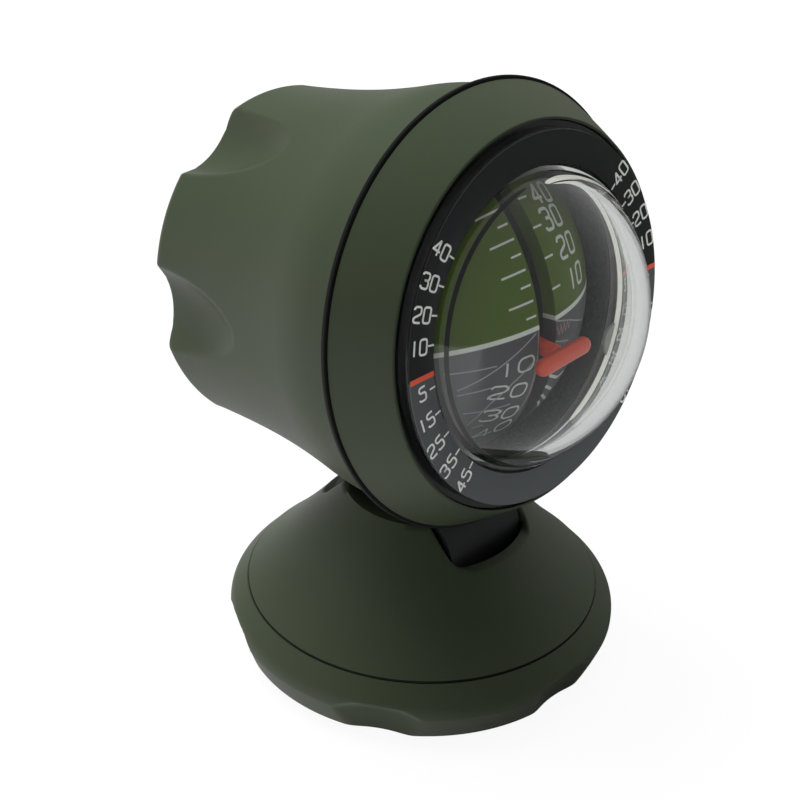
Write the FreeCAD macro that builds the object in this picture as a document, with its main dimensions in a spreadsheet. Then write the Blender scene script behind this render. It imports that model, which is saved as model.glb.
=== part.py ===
import FreeCAD, Part
import math
import os
import re

import Sketcher

# Dashboard inclinometer: a domed instrument head on a tilting neck, a swivelling cone
# and a round stick-down foot.  Millimetres, +Z up, the dial looks along -Y and a little
# up.  The origin is the middle of the foot's underside.

Vector = FreeCAD.Vector
doc = FreeCAD.newDocument("Inclinometer")

# ---------------------------------------------------------------- driving dimensions

DIMENSIONS = {
    # cone: the foot and the turntable take their radii from its lower edge
    "running_gap": 0.05,           # radial play of every running fit
    "cone_low_r": 28.2,
    "cone_wall": 2.0,
    "cone_sweep": 105.0,           # hollow curve of the cone's side
    "cone_top_r": 12.85,
    # foot, from the groove under the cone outwards
    "groove_ring_wide": 1.9,
    "groove_ring_out": "=cone_low_r",
    "groove_ring_in": "=groove_ring_out - groove_ring_wide",
    "rim_bore": "=groove_ring_out + running_gap",
    "foot_rim_wide": 0.25,         # narrow rim round the groove under the cone
    "foot_rim_r": "=rim_bore + foot_rim_wide",
    "foot_shoulder_wide": 1.9,
    "foot_shoulder_r": "=foot_rim_r + foot_shoulder_wide",
    "foot_shoulder_round": 2.9,
    "foot_side_wide": 0.8,
    "foot_r": "=foot_shoulder_r + foot_side_wide",
    "foot_draw": 2.1,              # the skirt draws in by this much towards the ground
    "foot_low_r": "=foot_r - foot_draw",
    "foot_skirt_round": 47.0,
    "foot_wall": 2.5,
    "foot_wall_r": "=foot_low_r - foot_wall",
    "foot_scoop_out": 13.8,        # the upright line of each scoop stands this far outside
    "foot_scoop_line": "=foot_r + foot_scoop_out",
    "foot_scoop_low_r": 16.9,
    "foot_scoop_mid_r": 16.3,
    "foot_scoop_top_r": 14.7,
    "scoop_count": 6,
    "foot_post_r": 3.0,
    "foot_post_inset": 6.6,
    "foot_post_circle": "=foot_wall_r - foot_post_inset",
    "base_gap": 0.2,
    "base_plate_r": "=foot_wall_r - base_gap",
    "pad_inset": 0.4,
    "pad_r": "=base_plate_r - pad_inset",
    # foot, from the ground up
    "foot_lift": 0.4,              # the skirt stands clear of the ground by this much
    "pad_thick": 1.2,
    "base_plate_thick": 1.5,
    "base_plate_top": "=pad_thick + base_plate_thick",
    "foot_deck_low": 7.5,
    "foot_deck_thick": 2.0,
    "foot_deck_top": "=foot_deck_low + foot_deck_thick",
    "foot_rim_tall": 0.6,
    "foot_rim_z": "=foot_deck_top + foot_rim_tall",
    "foot_shoulder_drop": 2.1,
    "foot_shoulder_z": "=foot_rim_z - foot_shoulder_drop",
    "foot_shoulder_tall": 2.2,
    "foot_side_top": "=foot_shoulder_z - foot_shoulder_tall",
    "foot_side_tall": 0.4,
    "foot_skirt_top": "=foot_side_top - foot_side_tall",
    "foot_scoop_mid_drop": 0.5,
    "foot_scoop_mid_z": "=foot_skirt_top - foot_scoop_mid_drop",
    "foot_scoop_rise": 1.0,
    "foot_scoop_top_z": "=foot_side_top + foot_scoop_rise",
    # swivel
    "groove_ring_tall": 0.92,
    "groove_ring_top": "=foot_deck_top + groove_ring_tall",
    "plate_inset": 1.8,
    "plate_r": "=cone_low_r - cone_wall - plate_inset",
    "glide_inset": 3.4,
    "glide_out": "=plate_r - glide_inset",
    "glide_in": 8.0,
    "glide_thick": 0.65,
    "glide_top": "=foot_deck_top + glide_thick",
    "plate_low": "=glide_top + running_gap",
    "plate_thick": 1.8,
    "plate_top": "=plate_low + plate_thick",
    "hub_r": 5.0,
    "hub_drop": 0.6,               # the spigot reaches this far below the deck
    "hub_low": "=foot_deck_low - hub_drop",
    "hub_boss_r": 4.6,
    "hub_boss_tall": 1.0,
    "hub_boss_top": "=plate_top + hub_boss_tall",
    "retainer_r": 8.5,
    "retainer_thick": 0.8,
    "wave_in": 5.6,
    "wave_out": 8.2,
    "wave_thick": 0.5,
    "swivel_screw_r": 1.75,
    "swivel_screw_end": 0.6,
    "swivel_screw_top": "=hub_boss_top - swivel_screw_end",
    "swivel_head_r": 3.2,
    "swivel_head_tall": 2.0,
    # cone, from the turntable up
    "cone_lift": 0.3,
    "cone_low": "=plate_low + cone_lift",
    "cone_tall": 17.7,
    "cone_top": "=cone_low + cone_tall",
    "cone_roof": "=cone_top - cone_wall",  # the ears are solid above this height
    "slot_half": 8.6,
    "slot_deep": 6.2,
    "slot_floor": "=cone_top - slot_deep",
    "slot_corner": 2.0,
    "slot_soft": 0.5,              # rounding of the slot's outer edges
    "boss_inset": 5.6,
    "boss_circle": "=plate_r - boss_inset",
    "boss_r": 2.6,
    "boss_tall": 5.0,
    "boss_top": "=plate_top + boss_tall",
    # tilt hinge and neck
    "hinge_rise": 7.5,
    "hinge_z": "=plate_top + hinge_rise",
    "hinge_bolt_r": 1.5,
    "hinge_head_r": 2.8,
    "hinge_head_tall": 1.8,
    "hinge_nut_r": 3.1,
    "hinge_nut_tall": 2.2,
    "neck_gap": 0.6,               # air between the neck and each side of the slot
    "neck_half": "=slot_half - neck_gap",
    "neck_room_rise": 0.8,         # the room round the drum reaches above the slot's floor
    "neck_drum_r": 13.5,
    "neck_drop_deg": 7.0,          # the drum reaches this far below the hinge's level
    "neck_hub_r": 5.4,
    "neck_saddle_gap": 0.02,
    "neck_screw_x": 5.0,
    "neck_screw_back": 19.5,
    "washer_gap": 0.02,
    "washer_thick": 0.55,
    "washer_r": 5.2,
    "cheek_in": "=neck_half + washer_gap + washer_thick + running_gap",
    "cheek_thick": 2.98,
    "cheek_out": "=cheek_in + cheek_thick",
    "cheek_round": 5.5,
    # ball card: the head's pieces take their radii from it
    "ball_centre": 15.9,           # behind the seam
    "ball_r": 27.0,
    "ball_wall": 2.3,
    "ball_rim": 12.0,
    "ball_slot_half": 1.84,
    "card_play": 0.3,              # air between the ball's rim and the bowl
    "card_gap": 0.4,               # air between the card's frame and the housing
    "fit_gap": 0.1,                # radial play of pieces that are put together once
    "frame_inset": 1.0,
    "frame_r": "=ball_r - frame_inset",
    "frame_thick": 2.5,
    "frame_window_x": 10.0,
    "frame_window_y": 13.0,
    "arm_thick": 2.0,
    "arm_x": "=frame_window_x + arm_thick",
    "arm_half_tall": 5.0,
    "hub_front": 24.0,
    "hub_thick": 2.0,
    "hub_back": "=hub_front + hub_thick",
    "hub_plate_r": 13.5,
    "hub_neck_r": 3.4,
    "ballast_inset": 0.2,
    "ballast_cut": 2.4,            # the block's lower corners stand this far inside the frame
    "ballast_low": "=frame_r - ballast_cut",
    "ballast_tall": 8.6,
    "ballast_top": "=ballast_low - ballast_tall",
    "ballast_half_wide": 8.5,
    "ballast_thick": 8.0,
    "ballast_back": "=ball_rim + frame_thick + ballast_thick",
    "ballast_screw_x": 5.0,
    "ballast_screw_up": 4.0,
    "ballast_screw_y": "=ballast_top + ballast_screw_up",
    # head: its own frame has x across, y up the dial and z out of the dial; z 0 is the seam
    "tilt_deg": 8.88,
    "seam_y": -10.76,
    "seam_back": 0.5,              # the black seal fills the seam from here
    "seam_front": 0.2,             # to here
    "bowl_wall": 0.55,
    "bowl_in": "=ball_r + card_play",
    "bowl_out": "=bowl_in + bowl_wall",
    "bezel_wall": 2.65,
    "bezel_throat_r": "=bowl_out + fit_gap",
    "bezel_spigot_r": "=bezel_throat_r + bezel_wall",
    "rim_wall": 2.6,
    "mouth_r": "=bezel_spigot_r + fit_gap",
    "mouth_deep": 6.2,
    "seam_r": "=mouth_r + rim_wall",
    "neck_rise": 10.68,
    "seam_z": "=hinge_z + neck_rise + seam_r",
    "seal_proud": 0.2,
    "seal_out": "=seam_r + seal_proud",
    "rear_rim": 3.2,
    "rear_rim_round": 16.0,
    "rear_sweep": 139.0,           # hollow curve of the rear housing
    "bowl_room_r": "=bowl_out + fit_gap",
    "bowl_room_deep": 13.0,
    "card_room_r": "=frame_r + card_gap",
    "card_room_deep": "=ballast_back + card_gap",
    "seat_wall": 1.1,
    "neck_screw_seat": "=card_room_r + seat_wall",  # below the dial's axis
    "tail_step": 0.52,
    "rear_tail_r": "=card_room_r + tail_step",
    "rear_length": 46.9,
    "rear_dome": 3.5,              # height of the domed rear end
    "rear_edge": "=rear_length - rear_dome",
    "rear_round": 1.9,
    "floor_thick": 4.6,
    "rear_floor": "=rear_length - floor_thick",
    "tail_wall": 5.9,
    "tail_room_r": "=rear_tail_r - tail_wall",
    "ledge_step": 2.2,
    "ledge_r": "=tail_room_r + ledge_step",
    "ledge_deep": 30.5,
    "post_inset": 1.5,
    "post_circle": "=tail_room_r - post_inset",
    "post_r": 3.0,
    "grip_out": 4.77,              # the scoops' line stands this far outside the barrel
    "grip_line": "=rear_tail_r + grip_out",
    "grip_past": 1.5,              # the scoops are deepest this far past the rear end
    "grip_back": "=rear_length + grip_past",
    "grip_half_wide": 8.96,
    "grip_half_long": "=grip_back - card_room_deep",
    "grip_soft": 0.9,              # rounding of the ridges between scoops and barrel
    # bezel, seal and bowl
    "flange_over": 0.4,
    "flange_low_r": "=bowl_out + flange_over",
    "bezel_bore_r": "=flange_low_r + fit_gap",
    "bezel_lip": 0.4,
    "bezel_front_r": "=bezel_bore_r + bezel_lip",
    "bezel_front": 8.4,
    "bezel_inset": 0.2,
    "bezel_seam_r": "=seam_r - bezel_inset",
    "bezel_crown": 120.0,          # slight crown of the bezel's cone
    "bezel_step": 5.4,
    "bezel_spigot_long": 6.0,
    "bowl_lip_wide": 4.7,
    "bowl_lip_in": "=bowl_in - bowl_lip_wide",
    "bowl_lip_thick": 0.6,
    "bowl_lip_top": "=bezel_step + bowl_lip_thick",
    "bowl_back": 10.5,
    # lens: its flange has a broad foot in the bezel and a narrower face in front
    "gasket_thick": 1.0,
    "flange_back": "=bowl_lip_top + gasket_thick",
    "flange_foot": 0.9,
    "flange_inset": 0.95,
    "flange_r": "=flange_low_r - flange_inset",
    "flange_front": 9.65,
    "dome_less": 1.7,
    "dome_r": "=ball_r - dome_less",
    "dome_wall": 2.0,
    "dome_centre": 2.2,            # the dome's centre lies this far behind the seam
    "dome_foot_r": "=sqrt(dome_r ^ 2 - (flange_front + dome_centre) ^ 2)",
    "dial_in": "=dome_foot_r + fit_gap",
    "dial_out": "=flange_r - fit_gap",
    "dial_thick": 0.25,
    # movement
    "bulkhead_thick": 2.5,
    "bulkhead_front": "=ledge_deep - bulkhead_thick",
    "bulkhead_r": "=ledge_r - fit_gap",
    "bearing_boss_r": 5.0,
    "bulkhead_window_r": 4.2,
    "bulkhead_window_circle": 12.5,
    "bush_r": 3.0,
    "bush_flange_r": 4.0,
    "bush_flange": 0.6,
    "shaft_r": 1.5,
    "shaft_play": 0.03,
    "shaft_end": 0.5,              # the shaft's end stands past its clip and clear of the floor
    "shaft_back": "=rear_floor - shaft_end",
    "clip_r": 3.0,
    "clip_thick": 0.6,
    "clip_front": "=shaft_back - shaft_end - clip_thick",
    "bearing_boss_back": "=clip_front - bush_flange - fit_gap",
    "bush_between": 2.0,
    "bush_long": "=(bearing_boss_back - bulkhead_front - bush_between) / 2",
    "hub_neck_back": "=bulkhead_front - bush_flange - running_gap",
    # pointer
    "axle_r": 0.8,
    "axle_play": 0.03,
    "cup_r": 1.8,
    "cup_flange_r": 2.6,
    "cup_flange": 0.6,
    "axle_half": "=arm_x",
    "cup_floor": "=axle_half + fit_gap",
    "pointer_past": 2.8,
    "pointer_reach": "=ball_r + pointer_past",  # from the axle to the middle of the bar
    "bar_half_long": 5.7,
    "bar_half_tall": 1.3,
    "bar_thick": 2.0,
    "stem_half_wide": 1.2,
    "stem_half_tall": 1.15,
    "pointer_hub_r": 2.2,
    "pointer_hub_half": 3.0,
    "weight_drop": 6.0,
    "weight_back": 1.05,
    "weight_r": 3.0,
    "weight_half_long": 8.0,
    "weight_pin_r": 1.3,
    "weight_arm_half": 2.4,
    "weight_arm_low": 8.6,
    # small screws, all alike
    "screw_r": 1.1,
    "screw_head_r": 2.0,
    "screw_head_tall": 0.9,
    "screw_long": 5.5,
    "screw_socket_r": 0.9,
    "screw_socket_deep": 0.5,
}

sheet = doc.addObject("Spreadsheet::Sheet", "Sizes")
for row, (alias, size) in enumerate(DIMENSIONS.items(), start=1):
    sheet.set("A%d" % row, alias)
    sheet.set("B%d" % row, str(size))
    sheet.setAlias("B%d" % row, alias)
    doc.recompute()


# ------------------------------------------------------------------------- helpers

def bound(text):
    """Turns the names in a formula into references to the sheet; functions stay."""
    return re.sub(r"\b([a-z]\w*)\b(?!\()", r"Sizes.\1", text)


def value(text):
    """The present value of a formula in sheet names."""
    return float(sheet.evalExpression(bound(text)))


def bind(item, **formulas):
    """Binds properties of an object; a double underscore stands for a dot."""
    for name, text in formulas.items():
        item.setExpression(name.replace("__", "."), bound(text))


def place(item, x="0", y="0", z="0", axis=(1, 0, 0), turn="0"):
    """Binds an object's Placement: a place and one turn in degrees about an axis."""
    angle = value(turn)
    spot = Vector(value(x), value(y), value(z))
    item.Placement = FreeCAD.Placement(spot, FreeCAD.Rotation(Vector(*axis), angle))
    bind(item, Placement__Base__x=x, Placement__Base__y=y, Placement__Base__z=z)
    if angle:
        bind(item, Placement__Rotation__Angle=turn)


def in_head(item):
    """Places a piece that is drawn in the head's own frame."""
    place(item, y="seam_y", z="seam_z", turn="90 - tilt_deg")


def at_ball(item):
    """Places a level piece that turns about the ball's centre, z pointing forward."""
    place(item,
          y="seam_y + ball_centre * cos(tilt_deg)",
          z="seam_z - ball_centre * sin(tilt_deg)",
          turn="90")


def new_body(label, placing=None):
    body = doc.addObject("PartDesign::Body", label)
    body.Label = label
    if placing:
        placing(body)
    return body


def origin_part(body, role):
    return [part for part in body.Origin.OriginFeatures if part.Role == role][0]


def sketch_on(body, name, role, shift=("0", "0", "0"), turn="0"):
    """A sketch on one of the body's own origin planes, shifted and turned in it."""
    sketch = body.newObject("Sketcher::SketchObject", name)
    sketch.AttachmentSupport = [(origin_part(body, role), "")]
    sketch.MapMode = "FlatFace"
    angle = value(turn)
    spot = Vector(*[value(text) for text in shift])
    sketch.AttachmentOffset = FreeCAD.Placement(spot, FreeCAD.Rotation(Vector(0, 0, 1), angle))
    bind(sketch,
         AttachmentOffset__Base__x=shift[0],
         AttachmentOffset__Base__y=shift[1],
         AttachmentOffset__Base__z=shift[2])
    if angle:
        bind(sketch, AttachmentOffset__Rotation__Angle=turn)
    return sketch


def tie(sketch, kind, where, text, edge):
    """Ties a point's coordinate to a formula; a zero ties it to the sketch's axis."""
    if text == "0":
        sketch.addConstraint(Sketcher.Constraint("PointOnObject", where[0], where[1], edge))
        return
    rule = Sketcher.Constraint(kind, -1, 1, where[0], where[1], value(text))
    number = sketch.addConstraint(rule)
    sketch.setExpression("Constraints[%d]" % number, bound(text))


def add_circle(sketch, u, v, radius):
    circle = Part.Circle(Vector(value(u), value(v), 0), Vector(0, 0, 1), value(radius))
    number = sketch.addGeometry(circle, False)
    tie(sketch, "DistanceX", (number, 3), u, -2)
    tie(sketch, "DistanceY", (number, 3), v, -1)
    rule = sketch.addConstraint(Sketcher.Constraint("Radius", number, value(radius)))
    sketch.setExpression("Constraints[%d]" % rule, bound(radius))


def add_outline(sketch, corners):
    """A closed outline.  A corner is (u, v), or (u, v, radius, side) where an arc leaves
    it: side 1 has the arc's centre on the left of the way to the next corner, -1 right."""
    spots = [Vector(value(corner[0]), value(corner[1]), 0) for corner in corners]
    ends = []
    for index, corner in enumerate(corners):
        start = spots[index]
        stop = spots[(index + 1) % len(corners)]
        if len(corner) == 2:
            number = sketch.addGeometry(Part.LineSegment(start, stop), False)
            ends.append((number, 1, 2))
            continue
        radius = value(corner[2])
        side = corner[3]
        chord = stop - start
        left = Vector(-chord.y, chord.x, 0).normalize()
        centre = (start + stop) * 0.5 + left * side * math.sqrt(
            radius ** 2 - (chord.Length / 2) ** 2)
        first, last = (start, stop) if side > 0 else (stop, start)
        angles = [math.atan2(spot.y - centre.y, spot.x - centre.x) for spot in (first, last)]
        circle = Part.Circle(centre, Vector(0, 0, 1), radius)
        number = sketch.addGeometry(Part.ArcOfCircle(circle, *angles), False)
        ends.append((number, 1, 2) if side > 0 else (number, 2, 1))
        rule = sketch.addConstraint(Sketcher.Constraint("Radius", number, radius))
        sketch.setExpression("Constraints[%d]" % rule, bound(corner[2]))
    for index, (number, begin, finish) in enumerate(ends):
        follower = ends[(index + 1) % len(ends)]
        sketch.addConstraint(
            Sketcher.Constraint("Coincident", number, finish, follower[0], follower[1]))
        tie(sketch, "DistanceX", (number, begin), corners[index][0], -2)
        tie(sketch, "DistanceY", (number, begin), corners[index][1], -1)


def revolve(body, name, corners, kind="PartDesign::Revolution", role="XZ_Plane",
            shift=("0", "0", "0"), turn="0", axis="V_Axis"):
    """Turns an outline once round its sketch's upright (or level) axis."""
    sketch = sketch_on(body, name + "_outline", role, shift, turn)
    add_outline(sketch, corners)
    feature = body.newObject(kind, name)
    feature.Profile = sketch
    feature.ReferenceAxis = (sketch, [axis])
    feature.Angle = 360
    body.Tip = feature
    return feature


def prism(body, name, shapes, length, kind="PartDesign::Pad", role="XY_Plane",
          shift=("0", "0", "0"), turn="0", both=False, reverse=False):
    """Pads or pockets outlines (lists of corners) and circles (a u, v, radius tuple)."""
    sketch = sketch_on(body, name + "_outline", role, shift, turn)
    for shape in shapes:
        if isinstance(shape, tuple):
            add_circle(sketch, *shape)
        else:
            add_outline(sketch, shape)
    feature = body.newObject(kind, name)
    feature.Profile = sketch
    if both:
        feature.SideType = "Symmetric"
    feature.Reversed = reverse
    bind(feature, Length=length)
    body.Tip = feature
    return feature


def ring_of(body, feature, count="scoop_count"):
    """Repeats a feature evenly round the body's own z axis."""
    pattern = body.newObject("PartDesign::PolarPattern", feature.Name + "_ring")
    pattern.Originals = [feature]
    pattern.Axis = (origin_part(body, "Z_Axis"), [""])
    pattern.Angle = 360
    if count.isdigit():
        pattern.Occurrences = int(count)
    else:
        bind(pattern, Occurrences=count)
    body.Tip = pattern
    return pattern


def box_corners(left, right, low, high):
    return [(left, low), (right, low), (right, high), (left, high)]


def level_edges(shape, level):
    """Names of the outermost edges that lie flat at a given height on the z axis."""
    flat = {}
    for number, edge in enumerate(shape.Edges, start=1):
        if edge.Degenerated:
            continue
        spots = edge.discretize(5)
        if all(abs(spot.z - value(level)) < value("running_gap") for spot in spots):
            flat["Edge%d" % number] = max(math.hypot(spot.x, spot.y) for spot in spots)
    widest = max(flat.values())
    return [name for name, reach in flat.items() if reach > widest - value("running_gap")]


def round_edges(body, name, names, radius):
    """Fillets the named edges of the body's present shape."""
    fillet = body.newObject("PartDesign::Fillet", name)
    fillet.Base = (fillet.BaseFeature, names)
    bind(fillet, Radius=radius)
    body.Tip = fillet
    return fillet


def ring_piece(label, inner, outer, low, high, placing=None):
    """A plain flat ring or disc turned about the body's z axis."""
    body = new_body(label, placing)
    revolve(body, label + "_turn", box_corners(inner, outer, low, high))
    return body


def screw(name, head, tip, head_r="screw_head_r", shank_r="screw_r",
          head_tall="screw_head_tall", socket_r="screw_socket_r"):
    """A socket-head screw along z: its head starts at one height, its tip ends at another."""
    way = 1 if value(tip) > value(head) else -1
    sign = "" if way > 0 else "-"
    neck = "(%s) + (%s%s)" % (head, sign, head_tall)
    body = new_body(name)
    revolve(body, name + "_turn", [
        ("0", head),
        (head_r, head),
        (head_r, neck),
        (shank_r, neck),
        (shank_r, tip),
        ("0", tip)])
    prism(body, name + "_socket", [("0", "0", socket_r)], "screw_socket_deep",
          kind="PartDesign::Pocket", shift=("0", "0", head), reverse=way > 0)
    return body


def group(label, members, placing=None):
    """Several like solids kept together as one node."""
    bunch = doc.addObject("Part::Compound", label)
    bunch.Label = label
    bunch.Links = members
    if placing:
        placing(bunch)
    return bunch


def circle_of_screws(label, circle, first_deg, count, head, tip, placing=None, **sizes):
    """Like screws set evenly on a circle round the z axis."""
    members = []
    for index in range(count):
        body = screw("%s_%d" % (label, index + 1), head, tip, **sizes)
        angle = first_deg + 360.0 / count * index
        place(body, x="%s * cos(%g)" % (circle, angle), y="%s * sin(%g)" % (circle, angle))
        members.append(body)
    return group(label, members, placing)


# ---------------------------------------------------------------------------- foot

def make_foot_ring():
    """Foot moulding: skirt, shoulder, rim and deck with a centre bore."""
    body = new_body("foot_ring")
    revolve(body, "foot_turn", [
        ("foot_wall_r", "foot_lift"),
        ("foot_low_r", "foot_lift", "foot_skirt_round", 1),
        ("foot_r", "foot_skirt_top"),
        ("foot_r", "foot_side_top", "foot_shoulder_round", 1),
        ("foot_shoulder_r", "foot_shoulder_z"),
        ("foot_rim_r", "foot_rim_z"),
        ("rim_bore", "foot_rim_z"),
        ("rim_bore", "foot_deck_top"),
        ("hub_r + running_gap", "foot_deck_top"),
        ("hub_r + running_gap", "foot_deck_low"),
        ("foot_wall_r", "foot_deck_low")])
    post = prism(body, "foot_post", [("foot_post_circle", "0", "foot_post_r")],
                 "foot_deck_low - base_plate_top", shift=("0", "0", "base_plate_top"))
    ring_of(body, post, "3")
    hole = prism(body, "foot_post_hole", [("foot_post_circle", "0", "screw_r")],
                 "screw_long", kind="PartDesign::Pocket",
                 shift=("0", "0", "base_plate_top"), reverse=True)
    ring_of(body, hole, "3")
    scoop = revolve(body, "foot_scoop", [
        ("0", "0"),
        ("foot_scoop_low_r", "0"),
        ("foot_scoop_low_r", "foot_lift"),
        ("foot_scoop_mid_r", "foot_scoop_mid_z"),
        ("foot_scoop_top_r", "foot_scoop_top_z"),
        ("0", "foot_scoop_top_z")],
        kind="PartDesign::Groove", role="YZ_Plane", shift=("foot_scoop_line", "0", "0"))
    ring_of(body, scoop)
    return body


def make_base_plate():
    """Closing plate with three holes and recesses for the screw heads."""
    body = ring_piece("base_plate", "0", "base_plate_r", "pad_thick", "base_plate_top")
    hole = prism(body, "base_hole", [("foot_post_circle", "0", "screw_r")],
                 "base_plate_top", kind="PartDesign::Pocket", reverse=True)
    ring_of(body, hole, "3")
    recess = prism(body, "base_recess", [("foot_post_circle", "0", "screw_head_r")],
                   "pad_thick + screw_head_tall", kind="PartDesign::Pocket",
                   reverse=True)
    ring_of(body, recess, "3")
    return body


def make_base_screws():
    return circle_of_screws("base_screws", "foot_post_circle", 0, 3,
                            "pad_thick", "pad_thick + screw_long")


# -------------------------------------------------------------------------- swivel

def make_swivel_plate():
    """Turntable with the swivel's spigot below and two hinge cheeks above."""
    body = new_body("swivel_plate")
    revolve(body, "plate_turn", [
        ("0", "hub_low"),
        ("hub_r", "hub_low"),
        ("hub_r", "plate_low"),
        ("plate_r", "plate_low"),
        ("plate_r", "plate_top"),
        ("hub_boss_r", "plate_top"),
        ("hub_boss_r", "hub_boss_top"),
        ("0", "hub_boss_top")])
    for name, left, right in (("cheek_left", "-cheek_out", "-cheek_in"),
                              ("cheek_right", "cheek_in", "cheek_out")):
        prism(body, name, [[
            ("cheek_round", "plate_top"),
            ("cheek_round", "hinge_z", "cheek_round + 0.0001", 1),
            ("0", "hinge_z + cheek_round", "cheek_round + 0.0001", 1),
            ("-cheek_round", "hinge_z"),
            ("-cheek_round", "plate_top")]],
            "cheek_out - cheek_in", role="YZ_Plane", shift=("0", "0", left))
    prism(body, "hinge_hole", [("0", "hinge_z", "hinge_bolt_r")], "4 * cheek_out",
          kind="PartDesign::Pocket", role="YZ_Plane", both=True)
    prism(body, "centre_hole", [("0", "0", "swivel_screw_r")],
          "swivel_screw_top", kind="PartDesign::Pocket", reverse=True)
    hole = prism(body, "plate_hole", [("boss_circle", "0", "screw_r")], "plate_top",
                 kind="PartDesign::Pocket", reverse=True)
    ring_of(body, hole, "3")
    recess = prism(body, "plate_recess", [("boss_circle", "0", "screw_head_r")],
                   "plate_low + screw_head_tall", kind="PartDesign::Pocket", reverse=True)
    ring_of(body, recess, "3")
    return body


NECK_SWING = "sqrt(neck_drum_r ^ 2 + neck_half ^ 2) + 3 * running_gap"


def make_cone_cover():
    """Hollow cone with a through slot for the neck and three screw bosses."""
    body = new_body("cone_cover")
    revolve(body, "cone_turn", [
        ("0", "cone_low"),
        ("cone_low_r", "cone_low", "cone_sweep", -1),
        ("cone_top_r", "cone_top"),
        ("0", "cone_top")])
    revolve(body, "cone_hollow", [
        ("0", "0"),
        ("cone_low_r - cone_wall", "0"),
        ("cone_low_r - cone_wall", "cone_low", "cone_sweep", -1),
        ("cone_top_r - cone_wall", "cone_roof"),
        ("0", "cone_roof")],
        kind="PartDesign::Groove")
    revolve(body, "neck_room",
            box_corners("0", NECK_SWING, "plate_top", "slot_floor + neck_room_rise"),
            kind="PartDesign::Groove")
    boss = prism(body, "boss", [("boss_circle", "0", "boss_r")],
                 "boss_top - plate_top", shift=("0", "0", "plate_top"))
    ring_of(body, boss, "3")
    hole = prism(body, "boss_hole", [("boss_circle", "0", "screw_r")],
                 "plate_low + screw_long", kind="PartDesign::Pocket", reverse=True)
    ring_of(body, hole, "3")
    prism(body, "neck_slot", [[
        ("-slot_half", "slot_floor + slot_corner", "slot_corner", 1),
        ("-slot_half + slot_corner", "slot_floor"),
        ("slot_half - slot_corner", "slot_floor", "slot_corner", 1),
        ("slot_half", "slot_floor + slot_corner"),
        ("slot_half", "2 * cone_top"),
        ("-slot_half", "2 * cone_top")]],
        "4 * cone_low_r", kind="PartDesign::Pocket", role="XZ_Plane", both=True)
    doc.recompute()
    round_edges(body, "slot_round", slot_edges(body.Shape), "slot_soft")
    return body


def slot_edges(shape):
    """Names of the edges where the neck's slot comes out of the cone's side."""
    sweep = value("cone_sweep")
    low = Vector(value("cone_low_r"), value("cone_low"), 0)
    top = Vector(value("cone_top_r"), value("cone_top"), 0)
    chord = top - low
    outward = Vector(chord.y, -chord.x, 0).normalize()
    centre = (low + top) * 0.5 + outward * math.sqrt(sweep ** 2 - (chord.Length / 2) ** 2)
    names = []
    for number, edge in enumerate(shape.Edges, start=1):
        spots = edge.discretize(5)
        across = max(abs(spot.x) for spot in spots)
        away = max(abs(Vector(math.hypot(spot.x, spot.y), spot.z, 0).distanceToPoint(centre)
                       - sweep) for spot in spots)
        if across < value("slot_half") + value("running_gap") and away < value("running_gap"):
            names.append("Edge%d" % number)
    return names


def make_hinge():
    """Hinge bolt, nut and the two friction washers."""
    bolt = new_body("hinge_bolt")
    revolve(bolt, "bolt_turn", [
        ("0", "-cheek_out - hinge_head_tall"),
        ("hinge_head_r", "-cheek_out - hinge_head_tall"),
        ("hinge_head_r", "-cheek_out"),
        ("hinge_bolt_r", "-cheek_out"),
        ("hinge_bolt_r", "cheek_out + hinge_nut_tall"),
        ("0", "cheek_out + hinge_nut_tall")])
    place(bolt, z="hinge_z", axis=(0, 1, 0), turn="90")
    nut = new_body("hinge_nut")
    six = [("hinge_nut_r * cos(%d)" % angle, "hinge_nut_r * sin(%d)" % angle)
           for angle in (30, 90, 150, 210, 270, 330)]
    prism(nut, "nut_prism", [six, ("0", "0", "hinge_bolt_r")], "hinge_nut_tall",
          shift=("0", "0", "cheek_out"))
    place(nut, z="hinge_z", axis=(0, 1, 0), turn="90")
    washers = []
    for name, side in (("washer_left", -1), ("washer_right", 1)):
        washer = new_body(name)
        prism(washer, name + "_disc",
              [("0", "0", "washer_r"), ("0", "0", "hinge_bolt_r")], "washer_thick",
              shift=("0", "0", "neck_half + washer_gap"), reverse=False)
        place(washer, axis=(0, 1, 0), turn="%d" % (90 * side))
        washers.append(washer)
    group("friction_washers", washers, lambda item: place(item, z="hinge_z"))


HINGE_UP = "(hinge_z - seam_z) * cos(tilt_deg) - seam_y * sin(tilt_deg)"
HINGE_OUT = "(hinge_z - seam_z) * sin(tilt_deg) + seam_y * cos(tilt_deg)"


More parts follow.
